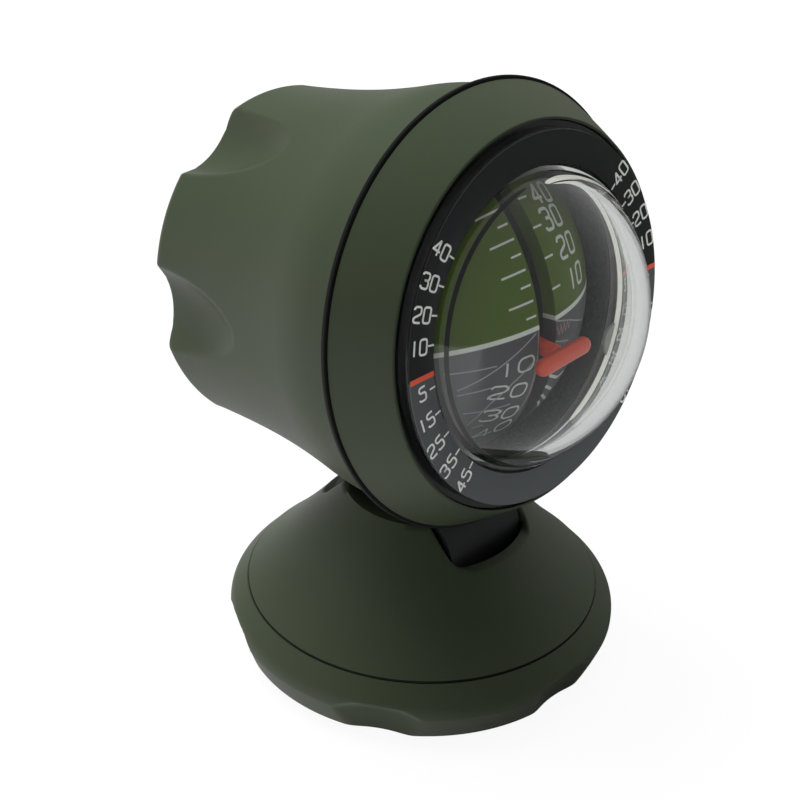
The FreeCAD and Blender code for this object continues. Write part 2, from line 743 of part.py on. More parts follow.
def make_neck():
    """Drum-shaped neck round the hinge; its top is hollowed to the housing's underside."""
    body = new_body("neck", in_head)
    level = {"role": "YZ_Plane", "shift": (HINGE_UP, HINGE_OUT, "0"), "turn": "tilt_deg - 90"}
    drum_end = ("neck_drum_r * cos(neck_drop_deg)", "-neck_drum_r * sin(neck_drop_deg)")
    prism(body, "neck_drum", [[
        (drum_end[0], drum_end[1], "neck_drum_r + 0.0001", 1),
        ("0", "neck_drum_r", "neck_drum_r + 0.0001", 1),
        ("-" + drum_end[0], drum_end[1]),
        ("-neck_hub_r", "-neck_hub_r * 0.5", "neck_hub_r * 1.118", 1),
        ("neck_hub_r", "-neck_hub_r * 0.5")]],
        "2 * neck_half", both=True, **level)
    prism(body, "neck_bore", [("0", "0", "hinge_bolt_r + running_gap")], "4 * neck_half",
          kind="PartDesign::Pocket", both=True, **level)
    revolve(body, "neck_saddle", [
        ("0", "0"),
        ("seam_r + neck_saddle_gap", "0"),
        ("seam_r + neck_saddle_gap", "-rear_rim", "rear_sweep - neck_saddle_gap", 1),
        ("rear_tail_r + neck_saddle_gap", "-rear_edge"),
        ("0", "-rear_edge")],
        kind="PartDesign::Groove")
    neck_holes(body, "screw_r", "neck_screw_seat - screw_head_tall + screw_long")
    return body


def neck_holes(body, radius, deep):
    """Holes for the neck screws, down from the dial's axis."""
    for name, side in (("left", "-neck_screw_x"), ("right", "neck_screw_x")):
        prism(body, "%s_neck_hole_%s" % (radius, name), [(side, "-neck_screw_back", radius)],
              deep, kind="PartDesign::Pocket", role="XZ_Plane", reverse=True)


def make_neck_screws():
    """Two screws from inside the housing down into the neck."""
    members = []
    head = "neck_screw_seat - screw_head_tall"
    for name, side in (("neck_screw_left", "-neck_screw_x"), ("neck_screw_right", "neck_screw_x")):
        body = screw(name, head, head + " + screw_long")
        place(body, x=side, z="-neck_screw_back", axis=(1, 0, 0), turn="90")
        members.append(body)
    return group("neck_screws", members, in_head)


# ---------------------------------------------------------------------------- head

def make_rear_housing():
    """Rear housing: swept side, domed end, room for the movement, grip scoops, posts."""
    body = new_body("rear_housing", in_head)
    turned = revolve(body, "housing_turn", [
        ("0", "-seam_back"),
        ("0", "-rear_length", "(rear_tail_r ^ 2 + rear_dome ^ 2) / (2 * rear_dome)", 1),
        ("rear_tail_r", "-rear_edge", "rear_sweep", -1),
        ("seam_r", "-rear_rim"),
        ("seam_r", "-seam_back")])
    doc.recompute()
    rim = round_edges(body, "rim_round", level_edges(turned.Shape, "-rear_rim"),
                      "rear_rim_round")
    doc.recompute()
    round_edges(body, "tail_round", level_edges(rim.Shape, "-rear_edge"), "rear_round")
    revolve(body, "housing_room", [
        ("0", "seam_front"),
        ("mouth_r", "seam_front"),
        ("mouth_r", "-mouth_deep"),
        ("bowl_room_r", "-mouth_deep"),
        ("bowl_room_r", "-bowl_room_deep"),
        ("card_room_r", "-bowl_room_deep"),
        ("card_room_r", "-card_room_deep"),
        ("ledge_r", "-card_room_deep"),
        ("ledge_r", "-ledge_deep"),
        ("tail_room_r", "-ledge_deep"),
        ("tail_room_r", "-rear_floor"),
        ("0", "-rear_floor")],
        kind="PartDesign::Groove")
    scoop = body.newObject("PartDesign::SubtractiveEllipsoid", "grip_scoop")
    scoop.AttachmentSupport = [(origin_part(body, "XY_Plane"), "")]
    scoop.MapMode = "FlatFace"
    bind(scoop,
         AttachmentOffset__Base__x="grip_line",
         AttachmentOffset__Base__z="-grip_back",
         Radius1="grip_half_long",
         Radius2="grip_half_wide",
         Radius3="grip_half_wide")
    body.Tip = scoop
    scoops = ring_of(body, scoop)
    doc.recompute()
    round_edges(body, "grip_round", grip_edges(scoops.Shape), "grip_soft")
    post = prism(body, "post",
                 [("post_circle * cos(30)", "post_circle * sin(30)", "post_r")],
                 "rear_floor - ledge_deep", shift=("0", "0", "-rear_floor"))
    ring_of(body, post, "3")
    hole = prism(body, "post_hole",
                 [("post_circle * cos(30)", "post_circle * sin(30)", "screw_r")],
                 "screw_long", kind="PartDesign::Pocket", shift=("0", "0", "-ledge_deep"))
    ring_of(body, hole, "3")
    neck_holes(body, "screw_r", "2 * seam_r")
    neck_holes(body, "screw_head_r", "neck_screw_seat")
    return body


def grip_edges(shape):
    """Names of the edges where the grip scoops meet the barrel: they lie on a scoop."""
    long = value("grip_half_long")
    wide = value("grip_half_wide")
    names = []
    for number, edge in enumerate(shape.Edges, start=1):
        if edge.Degenerated:
            continue
        spots = edge.discretize(7)
        for index in range(int(value("scoop_count"))):
            angle = index * 2 * math.pi / value("scoop_count")
            line = Vector(math.cos(angle), math.sin(angle), 0) * value("grip_line")
            away = [math.hypot(spot.x - line.x, spot.y - line.y) / wide for spot in spots]
            along = [(spot.z + value("grip_back")) / long for spot in spots]
            off = max(abs(math.hypot(*pair) - 1) for pair in zip(away, along))
            if off * wide < value("running_gap"):
                names.append("Edge%d" % number)
    return names


def make_front_bezel():
    """Conical bezel with the lens seat and the spigot that enters the housing."""
    body = new_body("front_bezel", in_head)
    revolve(body, "bezel_turn", [
        ("bezel_throat_r", "-bezel_spigot_long"),
        ("bezel_spigot_r", "-bezel_spigot_long"),
        ("bezel_spigot_r", "seam_front"),
        ("bezel_seam_r", "seam_front", "bezel_crown", 1),
        ("bezel_front_r", "bezel_front"),
        ("bezel_bore_r", "bezel_front"),
        ("bezel_bore_r", "bezel_step"),
        ("bezel_throat_r", "bezel_step")])
    return body


def make_inner_bowl():
    """Dark bowl round the ball, with a lip that frames the window."""
    body = new_body("inner_bowl", in_head)
    lip_low = "bezel_step"
    revolve(body, "bowl_turn", [
        ("bowl_in", "-bowl_back"),
        ("bowl_out", "-bowl_back"),
        ("bowl_out", lip_low),
        ("flange_low_r", lip_low),
        ("flange_low_r", "bowl_lip_top"),
        ("bowl_lip_in", "bowl_lip_top"),
        ("bowl_lip_in", lip_low),
        ("bowl_in", lip_low)])
    return body


def make_lens():
    """Clear window: a thick-walled dome on a flange with a broader foot."""
    body = new_body("lens", in_head)
    dome_in = "dome_r - dome_wall"
    rise_in = "sqrt((dome_r - dome_wall) ^ 2 - (flange_back + dome_centre) ^ 2)"
    revolve(body, "lens_turn", [
        (rise_in, "flange_back"),
        ("flange_low_r", "flange_back"),
        ("flange_low_r", "flange_back + flange_foot"),
        ("flange_r", "flange_back + flange_foot"),
        ("flange_r", "flange_front"),
        ("dome_foot_r", "flange_front", "dome_r", 1),
        ("0", "dome_r - dome_centre"),
        ("0", "dome_r - dome_wall - dome_centre", dome_in, -1)])
    return body


# ------------------------------------------------------------------------ movement

def make_bulkhead():
    """Movement frame: a disc on the housing's ledge with a long bearing boss behind."""
    body = new_body("bulkhead", in_head)
    step = "-bulkhead_front - bush_long"
    revolve(body, "bulkhead_turn", [
        ("bush_r", "-bulkhead_front"),
        ("bulkhead_r", "-bulkhead_front"),
        ("bulkhead_r", "-ledge_deep"),
        ("bearing_boss_r", "-ledge_deep"),
        ("bearing_boss_r", "-bearing_boss_back"),
        ("bush_r", "-bearing_boss_back"),
        ("bush_r", "-bearing_boss_back + bush_long"),
        ("shaft_r + 2 * bush_flange", "-bearing_boss_back + bush_long"),
        ("shaft_r + 2 * bush_flange", step),
        ("bush_r", step)])
    hole = prism(body, "bulkhead_hole",
                 [("post_circle * cos(30)", "post_circle * sin(30)", "screw_r")],
                 "ledge_deep", kind="PartDesign::Pocket")
    ring_of(body, hole, "3")
    window = prism(body, "bulkhead_window",
                   [("-bulkhead_window_circle * cos(30)", "-bulkhead_window_circle * sin(30)",
                     "bulkhead_window_r")],
                   "ledge_deep", kind="PartDesign::Pocket")
    ring_of(body, window, "3")
    return body


def make_bush(label, face, way):
    """Flanged bearing bush; its flange stands on one face of the bulkhead."""
    body = new_body(label, in_head)
    flange = "%s + (%d * bush_flange)" % (face, way)
    inner_end = "%s - (%d * bush_long)" % (face, way)
    bore = "shaft_r + shaft_play"
    revolve(body, label + "_turn", [
        (bore, inner_end),
        ("bush_r", inner_end),
        ("bush_r", face),
        ("bush_flange_r", face),
        ("bush_flange_r", flange),
        (bore, flange)])
    return body


def make_card_frame():
    """Frame of the ball: ring plate, two arms for the cross axle, hub plate and neck."""
    body = new_body("card_frame", in_head)
    plate_back = "-ball_rim - frame_thick"
    prism(body, "frame_plate",
          [("0", "0", "frame_r"),
           box_corners("-frame_window_x", "frame_window_x",
                       "-frame_window_y", "frame_window_y")],
          "frame_thick", shift=("0", "0", plate_back))
    for name, left, right in (("arm_left", "-arm_x", "-frame_window_x"),
                              ("arm_right", "frame_window_x", "arm_x")):
        prism(body, name, [box_corners(left, right, "-arm_half_tall", "arm_half_tall")],
              "hub_back - ball_rim - frame_thick", shift=("0", "0", plate_back), reverse=True)
    prism(body, "hub_plate", [("0", "0", "hub_plate_r")], "hub_back - hub_front",
          shift=("0", "0", "-hub_back"))
    prism(body, "hub_neck", [("0", "0", "hub_neck_r")], "hub_neck_back - hub_back",
          shift=("0", "0", "-hub_neck_back"))
    prism(body, "shaft_hole", [("0", "0", "shaft_r")], "2 * hub_neck_back",
          kind="PartDesign::Pocket", shift=("0", "0", "-hub_front + 1"))
    prism(body, "axle_hole", [("0", "-ball_centre", "cup_r")], "4 * arm_x",
          kind="PartDesign::Pocket", role="YZ_Plane", both=True)
    for name, face, back in (("cup_seat_left", "-arm_x - cup_flange", True),
                             ("cup_seat_right", "arm_x + cup_flange", False)):
        prism(body, name, [("0", "-ball_centre", "cup_flange_r + running_gap")], "cup_flange",
              kind="PartDesign::Pocket", role="YZ_Plane", shift=("0", "0", face), reverse=back)
    for name, side in (("ballast_hole_left", "-ballast_screw_x"),
                       ("ballast_hole_right", "ballast_screw_x")):
        prism(body, name, [(side, "-ballast_screw_y", "screw_r")], "2 * ball_rim",
              kind="PartDesign::Pocket")
    return body


def make_ball_half(label, way):
    """Half of the ball card, cut off beside the pointer's slot."""
    body = new_body(label, in_head)
    rim_out = "sqrt(ball_r ^ 2 - (ball_centre - ball_rim) ^ 2)"
    rim_in = "sqrt((ball_r - ball_wall) ^ 2 - (ball_centre - ball_rim) ^ 2)"
    revolve(body, label + "_turn", [
        (rim_in, "-ball_rim"),
        (rim_out, "-ball_rim", "ball_r", 1),
        ("0", "ball_r - ball_centre"),
        ("0", "ball_r - ball_wall - ball_centre", "ball_r - ball_wall", -1)])
    left, right = ("-ball_slot_half", "ball_r + 1") if way < 0 else ("-ball_r - 1", "ball_slot_half")
    prism(body, label + "_cut",
          [box_corners(left, right, "-ball_r - 1", "ball_r + 1")], "4 * ball_r",
          kind="PartDesign::Pocket", both=True)
    return body


def make_ballast():
    """Brass block behind the lower edge of the ball, rounded to the frame's rim."""
    body = new_body("roll_ballast", in_head)
    prism(body, "ballast_block",
          [[("-ballast_half_wide", "-ballast_low", "frame_r - ballast_inset", 1),
            ("ballast_half_wide", "-ballast_low"),
            ("ballast_half_wide", "-ballast_top"),
            ("-ballast_half_wide", "-ballast_top")]],
          "ballast_thick", shift=("0", "0", "-ball_rim - frame_thick"),
          reverse=True)
    for name, side in (("block_hole_left", "-ballast_screw_x"),
                       ("block_hole_right", "ballast_screw_x")):
        prism(body, name, [(side, "-ballast_screw_y", "screw_r")],
              "screw_long - screw_head_tall - frame_thick", kind="PartDesign::Pocket",
              shift=("0", "0", "-ball_rim - frame_thick"))
    return body


def make_ballast_screws():
    members = []
    for name, side in (("ballast_screw_left", "-ballast_screw_x"),
                       ("ballast_screw_right", "ballast_screw_x")):
        body = screw(name, "-ball_rim + screw_head_tall", "-ball_rim + screw_head_tall - screw_long")
        place(body, x=side, y="-ballast_screw_y")
        members.append(body)
    return group("ballast_screws", members, in_head)


def make_pivot_bushes():
    """Closed bushes in the frame's arms, one for each end of the cross axle."""
    members = []
    for name, turn in (("cup_left", "-90"), ("cup_right", "90")):
        body = new_body(name)
        end = "arm_x + cup_flange"
        revolve(body, name + "_turn", [
            ("axle_r + axle_play", "frame_window_x"),
            ("cup_r", "frame_window_x"),
            ("cup_r", "arm_x"),
            ("cup_flange_r", "arm_x"),
            ("cup_flange_r", end),
            ("0", end),
            ("0", "cup_floor"),
            ("axle_r + axle_play", "cup_floor")])
        place(body, z="-ball_centre", axis=(0, 1, 0), turn=turn)
        members.append(body)
    return group("pivot_bushes", members, in_head)


# ------------------------------------------------------------------------- pointer

def make_pointer():
    """Orange bar on a stem, with the hub on the cross axle and the weight's arm."""
    body = new_body("pointer", at_ball)
    prism(body, "pointer_hub", [("0", "0", "pointer_hub_r")], "2 * pointer_hub_half",
          role="YZ_Plane", both=True)
    prism(body, "weight_arm",
          [[("-weight_arm_low", "-weight_back - weight_arm_half"),
            ("0", "-weight_arm_half"),
            ("0", "weight_arm_half"),
            ("-weight_arm_low", "-weight_back + weight_arm_half")]],
          "2 * stem_half_wide", role="YZ_Plane", both=True)
    prism(body, "stem",
          [box_corners("-stem_half_wide", "stem_half_wide",
                       "-stem_half_tall", "stem_half_tall")],
          "pointer_reach")
    prism(body, "bar",
          [[("-bar_half_long + bar_half_tall", "-bar_half_tall"),
            ("bar_half_long - bar_half_tall", "-bar_half_tall", "bar_half_tall + 0.0001", 1),
            ("bar_half_long - bar_half_tall", "bar_half_tall"),
            ("-bar_half_long + bar_half_tall", "bar_half_tall", "bar_half_tall + 0.0001", 1)]],
          "bar_thick", shift=("0", "0", "pointer_reach - bar_thick / 2"))
    prism(body, "axle_bore", [("0", "0", "axle_r")], "4 * pointer_hub_half",
          kind="PartDesign::Pocket", role="YZ_Plane", both=True)
    prism(body, "weight_bore", [("-weight_drop", "-weight_back", "weight_pin_r")],
          "4 * pointer_hub_half", kind="PartDesign::Pocket", role="YZ_Plane", both=True)
    return body


def make_pitch_axle():
    body = new_body("pitch_axle", at_ball)
    prism(body, "axle_rod", [("0", "0", "axle_r")], "2 * axle_half", role="YZ_Plane",
          both=True)
    return body


def make_pitch_weight():
    """Two brass bobs joined by a pin through the pointer's arm."""
    body = new_body("pitch_weight", at_ball)
    centre = ("-weight_drop", "-weight_back")
    prism(body, "weight_pin", [centre + ("weight_pin_r",)], "2 * weight_half_long",
          role="YZ_Plane", both=True)
    bob = "weight_half_long - stem_half_wide"
    prism(body, "bob_right", [centre + ("weight_r",)], bob, role="YZ_Plane",
          shift=("0", "0", "stem_half_wide"))
    prism(body, "bob_left", [centre + ("weight_r",)], bob, role="YZ_Plane",
          shift=("0", "0", "-stem_half_wide"), reverse=True)
    return body


# ------------------------------------------------------------------------ assembly

make_foot_ring()
make_base_plate()
make_base_screws()
ring_piece("adhesive_pad", "0", "pad_r", "0", "pad_thick")
ring_piece("friction_ring", "groove_ring_in", "groove_ring_out", "foot_deck_top",
           "groove_ring_top")
ring_piece("glide_washer", "glide_in", "glide_out", "foot_deck_top", "glide_top")
make_swivel_plate()
make_cone_cover()
circle_of_screws("plate_screws", "boss_circle", 0, 3, "plate_low", "plate_low + screw_long")
group("swivel_screw",
      [screw("swivel_screw_body", "hub_low - retainer_thick - swivel_head_tall",
             "swivel_screw_top", "swivel_head_r", "swivel_screw_r", "swivel_head_tall")])
ring_piece("retainer_washer", "swivel_screw_r", "retainer_r", "hub_low - retainer_thick",
           "hub_low")
ring_piece("wave_washer", "wave_in", "wave_out", "hub_low + running_gap",
           "hub_low + running_gap + wave_thick")
make_hinge()
make_neck()
make_neck_screws()
make_rear_housing()
make_front_bezel()
ring_piece("bezel_seal", "mouth_r", "seal_out", "-seam_back", "seam_front", in_head)
make_inner_bowl()
ring_piece("lens_gasket", "bowl_lip_in", "flange_low_r", "bowl_lip_top", "flange_back", in_head)
make_lens()
ring_piece("dial_ring", "dial_in", "dial_out", "flange_front", "flange_front + dial_thick",
           in_head)
make_bulkhead()
circle_of_screws("bulkhead_screws", "post_circle", 30, 3,
                 "-bulkhead_front + screw_head_tall",
                 "-bulkhead_front + screw_head_tall - screw_long", in_head)
make_bush("front_bush", "-bulkhead_front", 1)
make_bush("rear_bush", "-bearing_boss_back", -1)
ring_piece("roll_shaft", "0", "shaft_r", "-shaft_back", "-hub_front", in_head)
ring_piece("shaft_clip", "shaft_r", "clip_r", "-clip_front - clip_thick", "-clip_front",
           in_head)
make_card_frame()
make_ball_half("ball_left", -1)
make_ball_half("ball_right", 1)
make_ballast()
make_ballast_screws()
make_pivot_bushes()
make_pointer()
make_pitch_axle()
make_pitch_weight()
doc.recompute()

NODES = [
    "foot_ring", "base_plate", "adhesive_pad", "base_screws", "friction_ring",
    "glide_washer", "swivel_plate", "cone_cover", "plate_screws", "swivel_screw",
    "retainer_washer", "wave_washer", "hinge_bolt", "hinge_nut", "friction_washers",
    "neck", "neck_screws", "rear_housing", "bezel_seal", "front_bezel", "inner_bowl", "lens_gasket",
    "lens", "dial_ring", "bulkhead", "bulkhead_screws", "front_bush", "rear_bush",
    "roll_shaft", "shaft_clip", "card_frame", "ball_left", "ball_right", "roll_ballast",
    "ballast_screws", "pivot_bushes", "pointer", "pitch_axle", "pitch_weight",
]

for item in doc.Objects:
    if "Invalid" in item.State or "Error" in item.State:
        raise RuntimeError("%s is %s" % (item.Label, item.State))

os.makedirs("parts", exist_ok=True)
for node in NODES:
    shape = doc.getObject(node).Shape
    if shape.isNull() or not shape.isValid():
        raise RuntimeError("%s has no sound shape" % node)
    shape.exportStep("parts/%s.step" % node)
    print("%-18s %9.1f mm3 %s" % (node, shape.Volume, shape.BoundBox))
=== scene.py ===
import math

import bmesh
import bpy
import numpy as np
from mathutils import Matrix, Vector


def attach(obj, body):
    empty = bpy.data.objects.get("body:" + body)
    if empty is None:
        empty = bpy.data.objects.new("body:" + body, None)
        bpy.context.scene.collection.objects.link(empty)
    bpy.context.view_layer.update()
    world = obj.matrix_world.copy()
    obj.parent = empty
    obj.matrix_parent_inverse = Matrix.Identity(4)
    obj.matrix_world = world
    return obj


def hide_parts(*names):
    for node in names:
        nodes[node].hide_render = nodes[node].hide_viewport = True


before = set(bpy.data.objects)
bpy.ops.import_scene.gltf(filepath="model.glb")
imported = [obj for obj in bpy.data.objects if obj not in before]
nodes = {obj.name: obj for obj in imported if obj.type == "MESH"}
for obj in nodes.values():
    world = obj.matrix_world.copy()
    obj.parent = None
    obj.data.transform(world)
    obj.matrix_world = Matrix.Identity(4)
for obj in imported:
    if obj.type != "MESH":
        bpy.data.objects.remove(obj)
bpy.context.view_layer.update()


# ---------------------------------------------------------------------------------------
# Foot moulding.  One olive ABS ring with a spark-eroded matt grain: a skirt that widens
# upwards, a round shoulder, a flat bevel up to the rim of the swivel's groove, and six
# shallow finger scoops that the tool's cores leave open at the bottom.

MM = 0.001
TURN = 2 * math.pi


def arc_points(start, stop, radius, side, steps):
    """Points of the circular arc between two points of an outline.  Its centre is on the
    left of the way for side 1 and on the right for -1, at the given radius from both."""
    start, stop = np.array(start, float), np.array(stop, float)
    way = stop - start
    half = np.linalg.norm(way) / 2
    left = np.array([-way[1], way[0]]) / (2 * half)
    centre = (start + stop) / 2 + side * math.sqrt(radius ** 2 - half ** 2) * left
    first = math.atan2(*(start - centre)[::-1])
    last = math.atan2(*(stop - centre)[::-1])
    swing = (last - first + math.pi) % TURN - math.pi
    angle = first + swing * np.linspace(0, 1, steps)
    return [(centre[0] + radius * math.cos(a), centre[1] + radius * math.sin(a), 0)
            for a in angle]


def rounded(corners, steps=8):
    """An outline through corners (across, up, radius).  Each corner is replaced by the arc
    that touches both of its sides; a radius of 0 keeps the corner.  An arc that would use
    up the shorter of its sides gets a smaller radius.  Ends stay as they are."""
    points = [np.array(corners[0][:2], float)]
    for before, corner, after in zip(corners, corners[1:], corners[2:]):
        at = np.array(corner[:2], float)
        back = np.array(before[:2], float) - at
        ahead = np.array(after[:2], float) - at
        room = min(np.linalg.norm(back), np.linalg.norm(ahead)) * 0.98
        back /= np.linalg.norm(back)
        ahead /= np.linalg.norm(ahead)
        half = math.acos(float(np.clip(back @ ahead, -1, 1))) / 2
        radius = min(corner[2], room * math.tan(half))
        if radius < 1e-6 or half > math.radians(89.9):
            points.append(at)
            continue
        middle = at + (back + ahead) / np.linalg.norm(back + ahead) * radius / math.sin(half)
        spin = math.pi / 2 - half
        inward = (at - middle) / np.linalg.norm(at - middle)
        side = math.copysign(1, back[0] * ahead[1] - back[1] * ahead[0])
        for angle in np.linspace(-spin, spin, steps) * -side:
            turned = np.array([inward[0] * math.cos(angle) - inward[1] * math.sin(angle),
                               inward[0] * math.sin(angle) + inward[1] * math.cos(angle)])
            points.append(middle + turned * radius)
    points.append(np.array(corners[-1][:2], float))
    return np.array(points)


def softer_min(first, second, soft):
    """The smaller of two distances, with the crease between them rounded over soft."""
    gap = np.clip(0.5 + 0.5 * (second - first) / soft, 0, 1)
    return second + (first - second) * gap - soft * gap * (1 - gap)


def scooped(around, line, reach, count, start):
    """Distance from the axis to the near side of round cutters of radius reach, whose lines
    stand at distance line from the axis; line itself where no cutter is met."""
    off = (around - start + TURN / count / 2) % (TURN / count) - TURN / count / 2
    inside = reach ** 2 - (line * np.sin(off)) ** 2
    return np.where(inside > 0, line * np.cos(off) - np.sqrt(np.maximum(inside, 0)), line)


def turned_grid(outline, steps, shape=None):
    """Carries an outline (radius, height) round the z axis; shape may change the radius
    as a function of radius, height and the angle round the axis."""
    around = np.linspace(0, TURN, steps + 1)
    radius = np.repeat(outline[:, :1], steps + 1, axis=1)
    height = np.repeat(outline[:, 1:2], steps + 1, axis=1)
    if shape is not None:
        radius = shape(radius, height, around[None, :])
    return np.stack([radius * np.cos(around), radius * np.sin(around), height], axis=2)


def grid_faces(rows, columns):
    """Four-sided faces between neighbouring points of a grid."""
    index = np.arange(rows * columns).reshape(rows, columns)
    return np.stack([index[:-1, :-1], index[:-1, 1:], index[1:, 1:], index[1:, :-1]],
                    axis=2).reshape(-1, 4)


def finish_piece(mesh, name, body, material, stands_for, smooth, outward=False):
    """Merges doubled points, shades the mesh smooth up to the angle smooth, puts the
    material on it and lets it ride on a body in place of the CAD nodes it stands for;
    outward turns the faces of each closed shell outwards."""
    work = bmesh.new()
    work.from_mesh(mesh)
    bmesh.ops.remove_doubles(work, verts=work.verts, dist=0.0004 * MM)
    bmesh.ops.dissolve_degenerate(work, edges=work.edges, dist=0.0002 * MM)
    if outward:
        bmesh.ops.recalc_face_normals(work, faces=work.faces)
    work.to_mesh(mesh)
    work.free()
    mesh.shade_smooth()
    mesh.set_sharp_from_angle(angle=math.radians(smooth))
    mesh.materials.clear()
    mesh.materials.append(material)
    piece = bpy.data.objects.new(name, mesh)
    bpy.context.scene.collection.objects.link(piece)
    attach(piece, body)
    if stands_for:
        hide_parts(*stands_for)
    return piece


def make_piece(name, grids, body, material, stands_for=(), smooth=40):
    """Joins point grids (in millimetres) into one mesh of closed shells and finishes it."""
    points = np.concatenate([grid.reshape(-1, 3) for grid in grids]) * MM
    starts = np.cumsum([0] + [grid.shape[0] * grid.shape[1] for grid in grids[:-1]])
    faces = np.concatenate([grid_faces(*grid.shape[:2]) + start
                            for grid, start in zip(grids, starts)])
    mesh = bpy.data.meshes.new(name)
    mesh.from_pydata(points, [], faces.tolist())
    return finish_piece(mesh, name, body, material, stands_for, smooth, True)


def linear(code):
    """A colour written as an sRGB hex code, as the linear values that a shader takes."""
    parts = [int(code[place:place + 2], 16) / 255 for place in (1, 3, 5)]
    return [part / 12.92 if part <= 0.04045 else ((part + 0.055) / 1.055) ** 2.4
            for part in parts] + [1.0]


def add_node(tree, kind, settings=None, links=None):
    """Adds one node: settings are its properties or its input values, links its inputs."""
    node = tree.nodes.new(kind)
    for name, setting in (settings or {}).items():
        if isinstance(name, str) and hasattr(node, name) and name not in node.inputs:
            setattr(node, name, setting)
        else:
            node.inputs[name].default_value = setting
    for name, source in (links or {}).items():
        tree.links.new(source, node.inputs[name])
    return node


def new_material(name):
    """An empty material with its Principled shader and the piece's own coordinates."""
    material = bpy.data.materials.new(name)
    material.use_nodes = True
    tree = material.node_tree
    tree.nodes.clear()
    shader = add_node(tree, "ShaderNodeBsdfPrincipled")
    add_node(tree, "ShaderNodeOutputMaterial", None, {0: shader.outputs[0]})
    where = add_node(tree, "ShaderNodeTexCoord").outputs["Object"]
    return material, tree, shader, where


DRIFT_MM = 22.2                # distance over which a moulding's colour drifts


def moulded_plastic(name, colour, shade, roughness, grain_mm, grain_deep, specular=0.5):
    """Injection-moulded plastic with the tool's spark-eroded grain: a fine bump, grain_mm
    across and grain_deep high, and a faint drift of colour over a few centimetres."""
    material, tree, shader, where = new_material(name)
    grain = add_node(tree, "ShaderNodeTexNoise",
                     {"Scale": 1 / (grain_mm * MM), "Detail": 3.0, "Roughness": 0.6},
                     {"Vector": where})
    drift = add_node(tree, "ShaderNodeTexNoise", {"Scale": 1 / (DRIFT_MM * MM), "Detail": 2.0},
                     {"Vector": where})
    mix = add_node(tree, "ShaderNodeMix",
                   {"data_type": "RGBA", 6: linear(colour), 7: linear(shade)},
                   {0: drift.outputs["Fac"]})
    bump = add_node(tree, "ShaderNodeBump",
                    {"Strength": 0.35, "Distance": grain_deep * MM},
                    {"Height": grain.outputs["Fac"]})
    gloss = add_node(tree, "ShaderNodeMapRange",
                     {"To Min": roughness - 0.05, "To Max": roughness + 0.05},
                     {"Value": grain.outputs["Fac"]})
    tree.links.new(mix.outputs[2], shader.inputs["Base Color"])
    tree.links.new(bump.outputs[0], shader.inputs["Normal"])
    tree.links.new(gloss.outputs[0], shader.inputs["Roughness"])
    shader.inputs["IOR"].default_value = 1.5
    shader.inputs["Specular IOR Level"].default_value = specular
    return material


# Olive ABS, moulded: the matt grain breaks up the gloss into a soft grey-green sheen that
# shows where the side turns away from the eye.  The real grain is a tenth of a millimetre
# and is drawn coarser, so that it shows.
olive_abs = moulded_plastic("olive_abs_matt", "#363f2d", "#303928", 0.5, 0.35, 0.02, 0.3)

FOOT_SCOOP_LINE = 45.0         # the upright lines that the scoops' cores turn about
FOOT_SCOOP_SOFT = 0.5          # rounding of the scoops' edges

foot_outline = rounded(
    [(26.6, 7.5, 0), (26.6, 0.4, 0.2)]
    + [(29.1, 0.4, 0.25)] + arc_points((29.1, 0.4), (31.2, 5.4), 47.0, 1, 12)[1:]
    + arc_points((31.2, 5.8), (30.4, 8.0), 2.9, 1, 16)
    + [(28.5, 10.1, 0.2), (28.25, 10.1, 0.05), (28.25, 9.5, 0), (5.05, 9.5, 0.1),
       (5.05, 7.5, 0.1), (26.6, 7.5, 0)])


def foot_shape(radius, height, around):
    """The foot's side less its six scoops: each core narrows with height and runs out on
    the shoulder, and the deck and the inside keep their radius."""
    reach = np.interp(height, [0.4, 4.9, 6.8, 7.5], [16.9, 16.3, 14.7, 12.6])
    bite = scooped(around, FOOT_SCOOP_LINE, reach, 6, TURN / 12)
    cut = softer_min(radius, bite, FOOT_SCOOP_SOFT)
    return np.where(radius > 28.0, cut, radius)


make_piece("foot_moulding", [turned_grid(foot_outline, 480, foot_shape)],
           "foot", olive_abs, ["foot_ring"])

# ---------------------------------------------------------------------------------------
# Closing plate, foam pad and bearing washer of the foot.  The plate is black ABS, held by
# three zinc-plated screws from below; the foam is stuck under it, and the acetal washer
# lies on the foot's deck.

# Black ABS with a matt grain: a near-black that keeps a faint grey gloss.
black_abs = moulded_plastic("black_abs_matt", "#1c1d1f", "#222325", 0.5, 0.3, 0.015, 0.45)
# Turned acetal: deeper black and waxy, with hardly any grain.
black_acetal = moulded_plastic("black_acetal_smooth", "#0c0d0e", "#111213", 0.4, 0.2, 0.004,
                               0.3)
# Foam with open cells half a millimetre across: a dull, pitted charcoal.
foam_pad = moulded_plastic("black_foam_open_cells", "#191919", "#262626", 0.9, 0.5, 0.12)


def smooth_copy(node, body, material, smooth=35):
    """A copy of a CAD node whose loose triangles are merged and shaded smooth."""
    mesh = nodes[node].data.copy()
    return finish_piece(mesh, node + "_shaded", body, material, [node], smooth)


MARK_MM = 1.11                 # length of a cutting mark, drawn coarser than real


